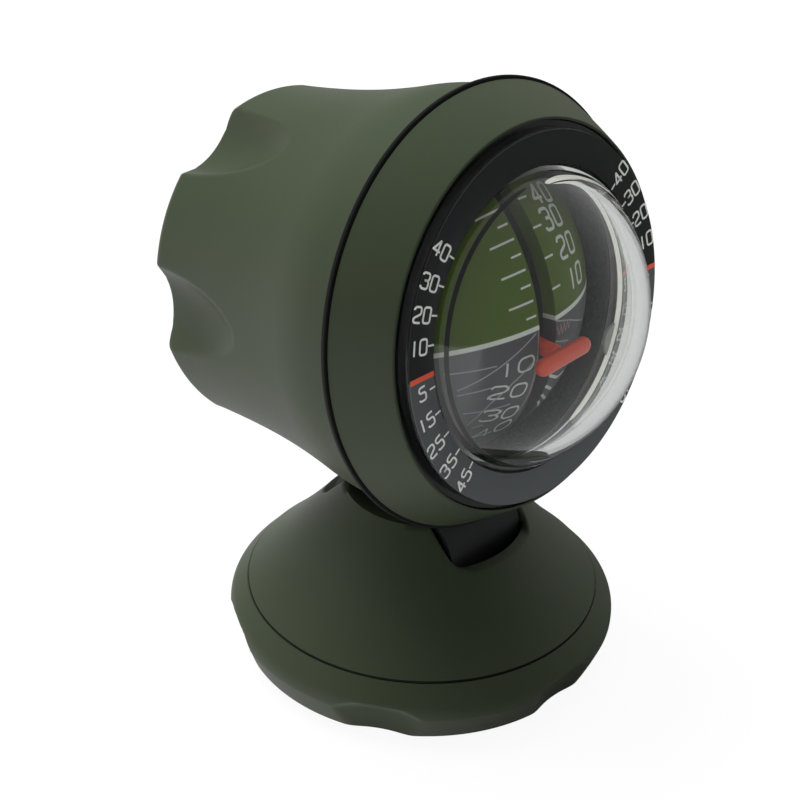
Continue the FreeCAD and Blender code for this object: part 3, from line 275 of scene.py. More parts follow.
def turned_metal(name, colour, roughness):
    """A turned and tumbled metal: fine cutting marks across the axis and a soft drift of
    gloss where the plating is thinner."""
    material, tree, shader, where = new_material(name)
    marks = add_node(tree, "ShaderNodeTexNoise", {"Scale": 1 / (MARK_MM * MM), "Detail": 2.0},
                     {"Vector": where})
    gloss = add_node(tree, "ShaderNodeMapRange",
                     {"To Min": roughness - 0.06, "To Max": roughness + 0.1},
                     {"Value": marks.outputs["Fac"]})
    bump = add_node(tree, "ShaderNodeBump", {"Strength": 0.2, "Distance": 0.01 * MM},
                    {"Height": marks.outputs["Fac"]})
    tree.links.new(gloss.outputs[0], shader.inputs["Roughness"])
    tree.links.new(bump.outputs[0], shader.inputs["Normal"])
    shader.inputs["Base Color"].default_value = linear(colour)
    shader.inputs["Metallic"].default_value = 1.0
    return material


# Steel, zinc-plated: pale blue-grey and half bright.
zinc_steel = turned_metal("steel_zinc_plated", "#b9bbbe", 0.32)

smooth_copy("base_plate", "foot", black_abs)
smooth_copy("adhesive_pad", "foot", foam_pad)
smooth_copy("glide_washer", "foot", black_acetal)
smooth_copy("base_screws", "foot", zinc_steel)

# ---------------------------------------------------------------------------------------
# Groove ring.  Black acetal, turned: it lies in the foot's rim and carries the edge of the
# cone; a hair of it shows as the dark line between the two.

groove_ring = rounded([(26.3, 10.0, 0), (26.3, 9.5, 0), (28.2, 9.5, 0), (28.2, 10.42, 0.15),
                       (26.3, 10.42, 0.15), (26.3, 10.0, 0)])
make_piece("groove_ring", [turned_grid(groove_ring, 240)], "foot", black_acetal,
           ["friction_ring"])

# ---------------------------------------------------------------------------------------
# Turntable under the cone: a black ABS plate with two hinge cheeks and its spigot through
# the foot's deck, held down by a screw, a large washer and a wave washer, all of steel.

smooth_copy("swivel_plate", "turntable", black_abs)
for node in ("plate_screws", "swivel_screw", "retainer_washer", "wave_washer"):
    smooth_copy(node, "turntable", zinc_steel)

# ---------------------------------------------------------------------------------------
# Cone cover.  The same olive ABS; a hollow-sided cone with a slot through it for the neck,
# whose edges are broken by a small radius.

smooth_copy("cone_cover", "turntable", olive_abs, 30)

# ---------------------------------------------------------------------------------------
# Hinge and neck.  A black ABS neck, drum-shaped round a steel bolt with a locknut, with a
# washer of pressed fibre on each side that gives the hinge its drag.

HINGE_UP = 19.5                # height of the hinge's axis
NECK_HALF = 8.0                # half the neck's width along the axis
WASHER_BORE = 1.55             # runs free on the 3 mm bolt
WASHER_R = 5.2
WASHER_THICK = 0.55
WASHER_GAP = 0.02              # play between a washer and the neck

# Pressed fibre: dull dark brown, with the felted grain of its pulp.
pressed_fibre = moulded_plastic("brown_fibre_pressed", "#2a241d", "#3a3126", 0.85, 0.3, 0.03)
smooth_copy("hinge_bolt", "turntable", zinc_steel)
smooth_copy("hinge_nut", "turntable", zinc_steel)

washer_outline = rounded([(3.0, 0, 0), (WASHER_R, 0, 0.08), (WASHER_R, WASHER_THICK, 0.08),
                          (WASHER_BORE, WASHER_THICK, 0.08), (WASHER_BORE, 0, 0.08),
                          (3.0, 0, 0)])
washer = turned_grid(washer_outline, 96) + [0, 0, NECK_HALF + WASHER_GAP]
right_washer = washer[..., [2, 0, 1]] + [0, 0, HINGE_UP]
left_washer = washer[..., [2, 1, 0]] * [-1, 1, 1] + [0, 0, HINGE_UP]
make_piece("fibre_washers", [right_washer, left_washer], "head", pressed_fibre,
           ["friction_washers"])
smooth_copy("neck", "head", black_abs)
smooth_copy("neck_screws", "head", zinc_steel)

# ---------------------------------------------------------------------------------------
# Rear housing.  Olive ABS: a rim at the seam, a long hollow sweep down to a shallow domed
# end, and six deep grip scoops that run out over the rear edge.

SEAM = np.array([0.0, -10.76, 63.48])
TILT = math.radians(8.88)
ACROSS = np.array([1.0, 0.0, 0.0])
UP_DIAL = np.array([0.0, math.sin(TILT), math.cos(TILT)])
OUT = np.array([0.0, -math.cos(TILT), math.sin(TILT)])
END_R = 26.92                  # where the sweep ends and the shallow dome begins
END_OUT = -43.4
END_RISE = 3.49
END_CURVE = (END_R ** 2 + END_RISE ** 2) / (2 * END_RISE)
SWEEP_CURVE = 139.0
GRIP_LINE = 31.69              # distance of the grip cores' middles from the axis
GRIP_BACK = 48.4               # and from the seam
GRIP_HALF_WIDE = 8.96
GRIP_HALF_LONG = 25.5
GRIP_SOFT = 1.0                # rounding of the scoops' edges


def in_head(grid):
    """From the head's own frame (across, up the dial, out of the dial; its zero is the
    middle of the seam) to the row's frame, all in millimetres."""
    return (SEAM + grid[..., 0:1] * ACROSS + grid[..., 1:2] * UP_DIAL
            + grid[..., 2:3] * OUT)


def housing_shape(radius, out, around):
    """Radius of the turned housing after the six ellipsoid cores of the grip; a core's
    half width shrinks with the height from its middle as an ellipse does."""
    span = np.clip(1 - ((out + GRIP_BACK) / GRIP_HALF_LONG) ** 2, 0, None)
    bite = scooped(around, GRIP_LINE, GRIP_HALF_WIDE * np.sqrt(span), 6, 0.0)
    return softer_min(radius, bite, GRIP_SOFT)


tail = arc_points((0, END_OUT - END_RISE), (END_R, END_OUT), END_CURVE, 1, 60)
sweep = arc_points((END_R, END_OUT), (33.3, -3.2), SWEEP_CURVE, -1, 90)
housing_outline = rounded(
    [point for point in tail if point[0] < 24.4] + [(END_R, END_OUT, 1.9)]
    + [point for point in sweep if -41.2 < point[1] < -5.9]
    + [(33.3, -3.2, 16.0), (33.3, -0.5, 0.25), (30.7, -0.5, 0), (30.7, -6.2, 0),
       (27.95, -6.2, 0), (27.95, -13.0, 0), (26.4, -13.0, 0), (26.4, -22.9, 0),
       (23.22, -22.9, 0), (23.22, -30.5, 0), (21.02, -30.5, 0), (21.02, -42.3, 0),
       (0, -42.3, 0)], 12)
make_piece("housing_moulding", [in_head(turned_grid(housing_outline, 480, housing_shape))],
           "head", olive_abs, ["rear_housing"], smooth=50)

# ---------------------------------------------------------------------------------------
# Movement frame.  A black ABS bulkhead with a long bearing boss, three screws into the
# housing's posts and two brass bushes for the roll shaft.

# Brass, turned: warm yellow with a soft gloss.
brass = turned_metal("brass_turned", "#c9a356", 0.3)
smooth_copy("bulkhead", "head", black_abs)
smooth_copy("bulkhead_screws", "head", zinc_steel)
smooth_copy("front_bush", "head", brass)
smooth_copy("rear_bush", "head", brass)

# ---------------------------------------------------------------------------------------
# Roll shaft with its ring, and the ball's frame: ground steel, black ABS, and a brass
# block low behind the rim that keeps the ball level.

smooth_copy("roll_shaft", "card", zinc_steel)
smooth_copy("shaft_clip", "card", zinc_steel)
smooth_copy("card_frame", "card", black_abs)
smooth_copy("roll_ballast", "card", brass)
smooth_copy("ballast_screws", "card", zinc_steel)
smooth_copy("pivot_bushes", "card", brass)

# ---------------------------------------------------------------------------------------
# Ball card.  Two halves of a printed ABS shell either side of the pointer's slot: grass
# green over grey, parted by a white line that stands for the horizon.

BALL_BACK = 15.9               # the ball's centre lies this far behind the seam
BALL_R = 27.0
BALL_WALL = 2.3
BALL_RIM = 3.9                 # the shell's rim lies this far in front of the ball's centre
SLOT_HALF = 1.84               # half the width of the pointer's slot


def on_ball(across, pitch, radius):
    """A point of the ball from its distance across, its pitch angle above the dial's axis
    and its radius: the angle turns about the cross axle."""
    level = np.sqrt(np.clip(radius ** 2 - across ** 2, 0, None))
    return np.stack([across + 0 * level, level * np.sin(pitch),
                     level * np.cos(pitch) - BALL_BACK], axis=-1)


def ball_half(side, rows=70, columns=150):
    """One half of the shell.  Rows run from the slot to the far side, columns from the
    lower to the upper rim; outer skin, inner skin, rim and slot face close on each other."""
    run = np.linspace(0, 1, rows)[:, None]
    sweep = np.linspace(-1, 1, columns)[None, :]

    def skin(radius):
        """The skin of one radius between the slot's face and the rim's plane."""
        reach = math.sqrt(radius ** 2 - BALL_RIM ** 2)
        across = SLOT_HALF + run * (reach - SLOT_HALF)
        level = np.sqrt(radius ** 2 - across ** 2)
        pitch = sweep * np.arccos(np.clip(BALL_RIM / level, -1, 1))
        return on_ball(across + 0 * pitch, pitch, radius)

    outer = skin(BALL_R)
    inner = skin(BALL_R - BALL_WALL)
    grids = [outer, inner[:, ::-1], np.stack([inner[0], outer[0]]),
             np.stack([outer[:, -1], inner[:, -1]], axis=1),
             np.stack([inner[:, 0], outer[:, 0]], axis=1)]
    if side < 0:
        return [in_head(grid * np.array([-1, 1, 1])) for grid in grids]
    return [in_head(grid[:, ::-1]) for grid in grids]


def height_over(tree, where, middle, slope=0.0):
    """Height up the dial over a plane through middle (in millimetres) that falls to the
    right by slope: the dot product of the place with the plane's own up direction."""
    up = UP_DIAL + slope * ACROSS
    dot = add_node(tree, "ShaderNodeVectorMath", {"operation": "DOT_PRODUCT", 1: up.tolist()},
                   {0: where})
    return add_node(tree, "ShaderNodeMath",
                    {"operation": "SUBTRACT", 1: float(middle @ up) * MM},
                    {0: dot.outputs["Value"]}).outputs[0]


MOTTLE_MM = 0.4545             # size of a patch of thicker ink
LINE_LOW = -0.42               # lower and upper edge of the horizon line over the level
LINE_HIGH = 0.30


def printed_ball():
    """Pad-printed ABS: colour by height over the ball's level plane, worked out from the
    piece's own coordinates.  The ink is dull and a little mottled, as it lies on a grain."""
    material, tree, shader, where = new_material("ball_print_green_grey")
    rise = height_over(tree, where, SEAM - BALL_BACK * OUT)
    mottle = add_node(tree, "ShaderNodeTexNoise", {"Scale": 1 / (MOTTLE_MM * MM), "Detail": 3.0},
                      {"Vector": where})

    def over(edge, below, above, soft=0.05):
        """The first colour below a height and the second above it."""
        step = add_node(tree, "ShaderNodeMapRange",
                        {"From Min": (edge - soft) * MM, "From Max": (edge + soft) * MM},
                        {"Value": rise})
        return add_node(tree, "ShaderNodeMix", {"data_type": "RGBA"},
                        {0: step.outputs[0], 6: below, 7: above}).outputs[2]

    def shade(dark, light):
        """An ink between two tones, after the mottle."""
        return add_node(tree, "ShaderNodeMix",
                        {"data_type": "RGBA", 6: linear(dark), 7: linear(light)},
                        {0: mottle.outputs["Fac"]}).outputs[2]

    ground = shade("#4c4c50", "#545458")
    line = shade("#d8dcd4", "#eceee8")
    sky = shade("#465c04", "#51690a")
    colour = over(LINE_HIGH, over(LINE_LOW, ground, line), sky)
    tree.links.new(colour, shader.inputs["Base Color"])
    shader.inputs["Roughness"].default_value = 0.45
    shader.inputs["Specular IOR Level"].default_value = 0.15
    return material


ball_print = printed_ball()
for side, node in ((-1, "ball_left"), (1, "ball_right")):
    make_piece(node + "_shell", ball_half(side), "card", ball_print, [node],
               smooth=50)

# ---------------------------------------------------------------------------------------
# Ball numerals, ticks and ground lines.  White pad-printed strokes of even width, squared
# figures as on most instrument cards; on the grey ground fine lines run to the horizon.

# The middle lines of each figure's strokes in a square of side 1: their corners, and
# whether they close on themselves.
FIGURES = {
    "0": [([(0, 0), (1, 0), (1, 1), (0, 1)], True)],
    "1": [([(0.6, 1), (0.6, 0)], False)],
    "2": [([(0, 0.8), (0, 1), (1, 1), (1, 0.56), (0, 0.3), (0, 0), (1, 0)], False)],
    "3": [([(0, 0.84), (0, 1), (1, 1), (1, 0.53), (0.35, 0.53)], False),
          ([(0.35, 0.53), (1, 0.53), (1, 0), (0, 0), (0, 0.16)], False)],
    "4": [([(0.75, 0), (0.75, 1)], False), ([(0.75, 1), (0, 0.3), (1.1, 0.3)], False)],
    "5": [([(0.98, 1), (0.04, 1), (0.04, 0.58), (1, 0.58), (1, 0), (0, 0), (0, 0.14)], False)],
}


STROKE_STEP = 0.3


def stroke_path(corners, closed, scale, bend):
    """A figure's stroke in millimetres: its corners rounded by bend, then divided into
    steps of about STROKE_STEP, so that it can follow the ball."""
    spots = [(x * scale[0], y * scale[1], bend) for x, y in corners]
    if closed:
        middle = [(spots[0][0] + spots[-1][0]) / 2, (spots[0][1] + spots[-1][1]) / 2, 0]
        spots = [middle] + spots + [middle]
    path = rounded(spots, 5)
    lengths = np.linalg.norm(np.diff(path, axis=0), axis=1)
    along = np.concatenate([[0], np.cumsum(lengths)])
    count = max(2, int(along[-1] / STROKE_STEP) + 1)
    keep = np.unique(np.concatenate([along, np.linspace(0, along[-1], count)]).round(5))
    return np.stack([np.interp(keep, along, path[:, 0]), np.interp(keep, along, path[:, 1])],
                    axis=1)


def stroke_grid(path, width, closed, lift=0.03, sink=0.04):
    """A flat bar carried along a path: four corners a station, left and right of the
    path by half the width, raised by lift and sunk by sink.  Open ends are closed."""
    ahead = np.gradient(path, axis=0)
    if closed:
        ahead[0] = ahead[-1] = path[1] - path[-2]
    ahead /= np.linalg.norm(ahead, axis=1)[:, None]
    left = np.stack([-ahead[:, 1], ahead[:, 0]], axis=1) * width / 2
    rows = []
    for side, height in ((1, lift), (1, -sink), (-1, -sink), (-1, lift), (1, lift)):
        rows.append(np.column_stack([path + side * left, np.full(len(path), height)]))
    tube = np.stack(rows, axis=1)
    if not closed:
        ends = [np.repeat(tube[[end]].mean(axis=1, keepdims=True), 5, axis=1)
                for end in (0, -1)]
        tube = np.concatenate([ends[0], tube, ends[1]])
    return tube


def figure_grids(text, width, height, advance, stroke, bend):
    """Grids of a number centred on zero; width and height are those of a stroke's middle
    line, and advance is the way from one figure to the next.  A 4 keeps its corners."""
    grids = []
    for place, figure in enumerate(text):
        for corners, closed in FIGURES[figure]:
            path = stroke_path(corners, closed, (width, height), 0 if figure == "4" else bend)
            grid = stroke_grid(path, stroke, closed)
            grid[..., 0] += (place - (len(text) - 1) / 2) * advance - width / 2
            grid[..., 1] -= height / 2
            grids.append(grid)
    return grids


def line_grid(corners, width, bend=0.3):
    """A printed line through corners (across, up) in millimetres."""
    return stroke_grid(stroke_path(corners, False, (1, 1), bend), width, False)


def moved(grids, x, y, turn=0.0):
    """Turns strokes about their own origin by degrees and moves them."""
    spin = math.radians(turn)
    spin = np.array([[math.cos(spin), math.sin(spin)], [-math.sin(spin), math.cos(spin)]])
    return [np.concatenate([grid[..., :2] @ spin + np.array([x, y]), grid[..., 2:]], axis=-1)
            for grid in grids]


def wrapped(grids):
    """Lays flat strokes (across, arc length up the ball, height over it) on the ball."""
    return [in_head(on_ball(grid[..., 0], grid[..., 1] / BALL_R, BALL_R + grid[..., 2]))
            for grid in grids]


FILM_MM = 0.5556               # size of the thin spots in a printed film


def printed_ink(name, colour, roughness):
    """Printed ink: a thin dull film whose density is slightly uneven."""
    material, tree, shader, where = new_material(name)
    film = add_node(tree, "ShaderNodeTexNoise", {"Scale": 1 / (FILM_MM * MM), "Detail": 2.0},
                    {"Vector": where})
    dim = [part * 0.8 for part in linear(colour)[:3]] + [1.0]
    mix = add_node(tree, "ShaderNodeMix", {"data_type": "RGBA", 6: dim, 7: linear(colour)},
                   {0: film.outputs["Fac"]})
    tree.links.new(mix.outputs[2], shader.inputs["Base Color"])
    shader.inputs["Roughness"].default_value = roughness
    return material


# Pad-printed inks: a clean white for what is read, and a grey and a rose that step back.
white_ink = printed_ink("white_ink_printed", "#dfe1dd", 0.5)
grey_ink = printed_ink("grey_ink_printed", "#a9a9ac", 0.5)
rose_ink = printed_ink("rose_ink_printed", "#a48a8a", 0.5)

ARC = BALL_R * math.pi / 180   # arc length of one degree on the ball


def ball_line(corners, width, bend=0.3):
    """A line through corners (across in millimetres, pitch in degrees)."""
    return line_grid([(x, degrees * ARC) for x, degrees in corners], width, bend)


TICK_STEP = 4.8                # degrees of pitch from one tick to the next
TICK_LOW = 0.85                # the print sits this much low

scale = []
for step in range(8):
    pitch = TICK_STEP * (step + 1) - TICK_LOW
    if step % 2 == 0:
        scale.append(ball_line([(-2.25, pitch), (-4.1, pitch)], 0.3))
    else:
        scale.append(ball_line([(-2.4, pitch), (-6.7, pitch)], 0.32))
        scale.append(ball_line([(1.85, pitch + 0.4), (3.85, pitch + 0.4)], 0.3))
for text, x, pitch in (("10", 8.9, 8.4), ("20", 8.35, 19.2), ("30", 7.2, 29.2),
                       ("40", 7.6, 37.6)):
    figures = figure_grids(text, width=2.0, height=3.2, advance=3.0, stroke=0.5, bend=0.6)
    scale += moved(figures, x, pitch * ARC)
for text, x, pitch, turn in (("10", -6.0, -10.7, 0), ("20", -6.5, -19.4, -10),
                             ("30", -6.57, -29.15, -8), ("40", -6.3, -37.7, 12)):
    figures = figure_grids(text, width=2.8, height=2.3, advance=3.6, stroke=0.32, bend=0.9)
    scale += moved(figures, x, pitch * ARC, turn)
for corners in ([(1.85, -20.4), (5.1, -25.3), (7.5, -26.3)], [(1.85, -24.9), (4.9, -30.4)],
                [(1.85, -28.8), (5.9, -37.7)], [(1.85, -31.9), (4.2, -38.7)]):
    scale.append(ball_line(corners, 0.5))
make_piece("ball_scale", wrapped(scale), "card", white_ink, smooth=30)

ground = []
for corners in ([(-16, -8.2), (-9.2, -8.2)], [(-14.3, -15.4), (-2.5, -1.6)],
                [(-14.2, -17.5), (-9.7, -16.0)],
                [(-2.5, -10.5), (-6.2, -16.2), (-9.3, -22.8), (-11.5, -31.8)],
                [(-12.8, -26.0), (-5.6, -25.1)], [(-10.5, -33.8), (-8.9, -32.9)],
                [(1.87, -1.0), (5.8, -4.0), (11.7, -10.5)], [(1.85, -7.9), (5.6, -11.1)]):
    ground.append(ball_line(corners, 0.22, 3.0))
make_piece("ball_ground_lines", wrapped(ground), "card", grey_ink, smooth=30)

hatch = [ball_line([(-2.05, -1), (-2.1, -12), (-2.3, -24), (-3.0, -31)], 0.22, 3.0)]
for start in (2.2, 3.1, 4.0, 4.9):
    hatch.append(ball_line([(start, -3.2), (start + 0.5, -6.6), (start + 0.9, -3.9)], 0.2, 0))
make_piece("ball_hatch", wrapped(hatch), "card", rose_ink, smooth=30)

# ---------------------------------------------------------------------------------------
# Pointer.  Orange-red ABS from a polished tool, one moulding: a round bar across the end
# of a thin stem, the hub on the steel cross axle, and an arm down to the brass weight.

REACH = 29.8                   # from the cross axle to the middle of the bar
PIVOT = SEAM - BALL_BACK * OUT


def level_out(grid):
    """From the pointer's level frame (across, up, forward from the cross axle)."""
    return PIVOT + np.stack([grid[..., 0], -grid[..., 2], grid[..., 1]], axis=-1)


def round_bar(half_long, half_tall, thick, soft, steps=64, layers=9):
    """A round-ended bar: its stadium outline is drawn in along two quarter circles of
    radius soft at the front and back edges, then closed over both flat faces."""
    around = np.linspace(0, TURN, steps + 1)
    ends = np.where(np.cos(around) >= 0, 1.0, -1.0) * (half_long - half_tall)
    quarter = np.linspace(0, math.pi / 2, layers)
    inset = np.concatenate([[half_tall], soft * (1 - np.sin(quarter)),
                            soft * (1 - np.sin(quarter[::-1])), [half_tall]])
    height = np.concatenate([[0], soft * (1 - np.cos(quarter)),
                             thick - soft * (1 - np.cos(quarter[::-1])), [thick]])
    radius = half_tall - inset
    return np.stack([ends[None, :] + radius[:, None] * np.cos(around),
                     radius[:, None] * np.sin(around),
                     height[:, None] + 0 * around[None, :]], axis=2)


BAR_HALF = 1.0                 # half the bar's thickness, and half the hub's length
HUB_HALF = 3.0
ARM_HALF = 1.2                 # half the arm's thickness
ARM_DOWN = 6.2                 # the weight's rivet lies this far below the axle
ARM_AFT = 1.05                 # and this far behind it

# Orange ABS from a polished tool: a clean saturated colour with a soft broad gloss.
orange_abs = moulded_plastic("orange_abs_polished", "#f2502c", "#e64423", 0.32, 0.6, 0.004)
bar = (round_bar(half_long=5.7, half_tall=1.3, thick=2 * BAR_HALF, soft=0.95)
       + [0, 0, REACH - BAR_HALF])
stem = round_bar(half_long=1.2, half_tall=1.15, thick=REACH - BAR_HALF, soft=0.3)
hub = round_bar(half_long=2.2, half_tall=2.2, thick=2 * HUB_HALF, soft=0.3)
hub = hub[..., [2, 1, 0]] * [1, 1, -1] - [HUB_HALF, 0, 0]
arm = round_bar(half_long=2.4, half_tall=2.4, thick=2 * ARM_HALF, soft=0.3)
low_end = arm[..., 0] < 0
arm = np.stack([arm[..., 2] - ARM_HALF, arm[..., 0] - ARM_DOWN * low_end,
                arm[..., 1] - ARM_AFT * low_end], axis=-1)
make_piece("pointer_moulding", [level_out(grid) for grid in (bar, stem, hub, arm)], "bar",
           orange_abs, ["pointer"], smooth=50)
smooth_copy("pitch_axle", "bar", zinc_steel)
smooth_copy("pitch_weight", "bar", brass)

# ---------------------------------------------------------------------------------------
# Seal.  A black rubber ring pinched in the seam; it stands a little proud of both
# mouldings and shows as the dark line between them.

# Moulded rubber: a flat black with no gloss.
black_rubber = moulded_plastic("black_rubber_matt", "#0c0d0d", "#121313", 0.7, 0.25, 0.01,
                               0.3)
seal_outline = rounded([(30.7, 0.0, 0), (30.7, -0.5, 0), (33.5, -0.5, 0.2), (33.5, 0.2, 0.2),
                        (30.7, 0.2, 0), (30.7, 0.0, 0)])
make_piece("seam_seal", [in_head(turned_grid(seal_outline, 360))], "head", black_rubber,
           ["bezel_seal"])

# ---------------------------------------------------------------------------------------
# Front bezel.  Olive ABS cone with a slight crown; its spigot is pressed into the housing
# over the seal, and its thin front lip holds the window.

bezel_outline = rounded(
    [(27.95, 0.0, 0), (27.95, -6.0, 0.1), (30.6, -6.0, 0.2), (30.6, 0.2, 0), (33.1, 0.2, 0.2)]
    + arc_points((33.1, 0.2), (28.75, 8.4), 120.0, 1, 24)[1:-1]
    + [(28.75, 8.4, 0.22), (28.35, 8.4, 0.1), (28.35, 5.4, 0), (27.95, 5.4, 0),
       (27.95, 0.0, 0)])
make_piece("bezel_moulding", [in_head(turned_grid(bezel_outline, 360))],
           "head", olive_abs, ["front_bezel"], smooth=50)

# ---------------------------------------------------------------------------------------
# Inner bowl.  Dark ABS with a coarse speckled finish; it hides the movement behind the
# ball's edge, and its lip lies under the window's gasket.


def speckled_plastic(name, colour, speck, speck_mm, roughness):
    """Moulded plastic with pale flecks in it, each about speck_mm across."""
    material, tree, shader, where = new_material(name)
    flecks = add_node(tree, "ShaderNodeTexNoise",
                      {"Scale": 1 / (speck_mm * MM), "Detail": 4.0, "Roughness": 0.75},
                      {"Vector": where})
    ramp = add_node(tree, "ShaderNodeMapRange", {"From Min": 0.45, "From Max": 0.72},
                    {"Value": flecks.outputs["Fac"]})
    mix = add_node(tree, "ShaderNodeMix",
                   {"data_type": "RGBA", 6: linear(colour), 7: linear(speck)},
                   {0: ramp.outputs[0]})
    bump = add_node(tree, "ShaderNodeBump", {"Strength": 0.3, "Distance": 0.03 * MM},
                    {"Height": flecks.outputs["Fac"]})
    tree.links.new(mix.outputs[2], shader.inputs["Base Color"])
    tree.links.new(bump.outputs[0], shader.inputs["Normal"])
    shader.inputs["Roughness"].default_value = roughness
    shader.inputs["Specular IOR Level"].default_value = 0.25
    return material


# Dark ABS with pale flecks: reads as a grainy charcoal through the window.
bowl_abs = speckled_plastic("grey_abs_speckled", "#1f2021", "#4b4c4e", 0.4, 0.6)
bowl_outline = rounded([
    (27.3, 0.0, 0), (27.3, -10.5, 0.1), (27.85, -10.5, 0.1), (27.85, 5.4, 0),
    (28.25, 5.4, 0), (28.25, 6.0, 0), (22.6, 6.0, 0.15), (22.6, 5.4, 0.15), (27.3, 5.4, 0.6),
    (27.3, 0.0, 0)])
make_piece("bowl_moulding", [in_head(turned_grid(bowl_outline, 240))],
           "head", bowl_abs, ["inner_bowl"], smooth=50)

# ---------------------------------------------------------------------------------------
# Window gasket.  Pale silicone, die-cut: it beds the window on the bowl's lip, mostly
# hidden under the flange.

# Silicone: cream white, smooth, a little waxy.
pale_silicone = moulded_plastic("pale_silicone_smooth", "#dcd9c6", "#d2cfba", 0.4, 0.5, 0.01)
gasket_outline = rounded([(28.25, 6.5, 0), (28.25, 6.97, 0), (22.6, 6.97, 0.1),
                          (22.6, 6.0, 0.1), (28.25, 6.0, 0), (28.25, 6.5, 0)])
make_piece("window_gasket", [in_head(turned_grid(gasket_outline, 240))],
           "head", pale_silicone, ["lens_gasket"])

# ---------------------------------------------------------------------------------------
# Window.  Clear acrylic, injection moulded and polished: a thick-walled dome on a flange
# with a broader foot, and the milky stub of its moulding gate left inside at the right.

RIPPLE_MM = 16.67              # width of the moulding's faint ripples
INSIDE_R = 23.3                # the dome's inner radius, about a middle 2.2 mm behind the seam
INSIDE_BACK = 2.2

# Acrylic, moulded and polished: water-clear, with a gloss that wanders with the ripples.
clear_acrylic, tree, shader, where = new_material("clear_acrylic_polished")
ripple = add_node(tree, "ShaderNodeTexNoise", {"Scale": 1 / (RIPPLE_MM * MM), "Detail": 1.0},
                  {"Vector": where})
gloss = add_node(tree, "ShaderNodeMapRange", {"To Min": 0.008, "To Max": 0.022},
                 {"Value": ripple.outputs["Fac"]})
tree.links.new(gloss.outputs[0], shader.inputs["Roughness"])
shader.inputs["Base Color"].default_value = linear("#fbfdfc")
shader.inputs["IOR"].default_value = 1.49
shader.inputs["Specular IOR Level"].default_value = 0.35
shader.inputs["Transmission Weight"].default_value = 1.0

lens_outline = rounded(
    [(25.0, 7.0, 0), (28.25, 7.0, 0.1), (28.25, 7.9, 0.1), (27.3, 7.9, 0), (27.3, 9.65, 0.25),
     (22.35, 9.65, 0)]
    + arc_points((22.35, 9.65), (0, 23.1), 25.3, 1, 60)[1:]
    + arc_points((0, 21.1), (21.4, 7.0), INSIDE_R, -1, 60) + [(25.0, 7.0, 0)])
make_piece("window_moulding", [in_head(turned_grid(lens_outline, 360))],
           "head", clear_acrylic, ["lens"], smooth=50)

# The same acrylic where the gate was broken off: crazed and milky.
milky_acrylic = moulded_plastic("milky_acrylic_torn", "#b9bcb4", "#9da19a", 0.5, 0.6, 0.05)


def gate_stub(first, last, wall, reach, low, high, steps=40):
    """The D-shaped stub between two angles of the dome's foot: its inner edge bulges to
    the radius reach as the root of a half sine, its outer edge follows the wall."""
    share = np.linspace(0, 1, steps)
    angle = np.radians(first + (last - first) * share)
    inner = wall - (wall - reach) * np.sin(math.pi * share) ** 0.5
    rows = [(wall, low), (inner, low), (inner, high), (wall, high), (wall, low)]
    return np.stack([np.stack([radius * np.cos(angle), radius * np.sin(angle),
                               np.full(steps, height)], axis=-1)
                     for radius, height in rows])


stub = gate_stub(first=-37, last=-21, wall=19.75, reach=17.0, low=9.65, high=10.15)
make_piece("window_gate", [in_head(stub)], "head", milky_acrylic)

# ---------------------------------------------------------------------------------------
# Window mask, painted shade and painted highlight.  Black screen ink under the flange; a
# narrow black line inside the dome's foot on the left half is painted shade, and on the right
# half a pale glowing bead between two black hairlines is a painted highlight with painted
# shade beside it.

# Black ink: an even dull black, the screen ink under the flange, and painted shade in the
# lines inside the dome's foot.
black_mask_and_shade = printed_ink("black_ink_and_painted_shade", "#0e0f10", 0.5)
CONTACT = 0.01                 # depth to which ink and bead bite into the acrylic
INK_DEEP = 0.04
# The black line on the left half and the hairlines on the right half are painted shade.
SHADE_LINE_FROM = 95                 # the black line covers the left half, in degrees
SHADE_LINE_TO = 285
# The bead is a painted highlight, and the hairlines beside it are painted shade.
HIGHLIGHT_FROM = -74                # the bead and its hairlines cover the right half
HIGHLIGHT_TO = 85

CLOUD_MM = 1.43                # size of the bead's cloudy spots

# Painted highlight: a milk-white translucent bead that also glows with light of its own, so
# that it shows brighter than what surrounds it, as a bright line along the dome's inner edge.
highlight_bead_glow, tree, shader, where = new_material("pale_bead_glowing_highlight")
clouds = add_node(tree, "ShaderNodeTexNoise", {"Scale": 1 / (CLOUD_MM * MM), "Detail": 2.0},
                  {"Vector": where})
tone = add_node(tree, "ShaderNodeMix",
                {"data_type": "RGBA", 6: linear("#e9e8e0"), 7: linear("#f6f6f0")},
                {0: clouds.outputs["Fac"]})
through = add_node(tree, "ShaderNodeBsdfTranslucent", None, {"Color": tone.outputs[2]})
share = add_node(tree, "ShaderNodeMixShader", {0: 0.6},
                 {1: shader.outputs[0], 2: through.outputs[0]})
tree.links.new(tone.outputs[2], shader.inputs["Base Color"])
shader.inputs["Roughness"].default_value = 0.4
# Emission: painted light, the glow that makes the bead a highlight.
shader.inputs["Emission Color"].default_value = linear("#f2f2ec")
shader.inputs["Emission Strength"].default_value = 0.7


def end_with(tree, shader):
    """Puts another shader than its first one at a material's output."""
    output = next(node for node in tree.nodes if node.bl_idname == "ShaderNodeOutputMaterial")
    tree.links.new(shader.outputs[0], output.inputs[0])


end_with(tree, share)


def inside_band(low, high, deep, rows=12):
    """Outline of a band on the dome's inner surface between two heights, deep thick."""
    height = np.linspace(low, high, rows) + INSIDE_BACK
    wall = np.column_stack([np.sqrt((INSIDE_R + CONTACT) ** 2 - height ** 2), height])
    inner = wall * (1 - deep / INSIDE_R)
    closed = np.concatenate([wall, inner[::-1], wall[:1]])
    closed[:, 1] -= INSIDE_BACK
    return closed


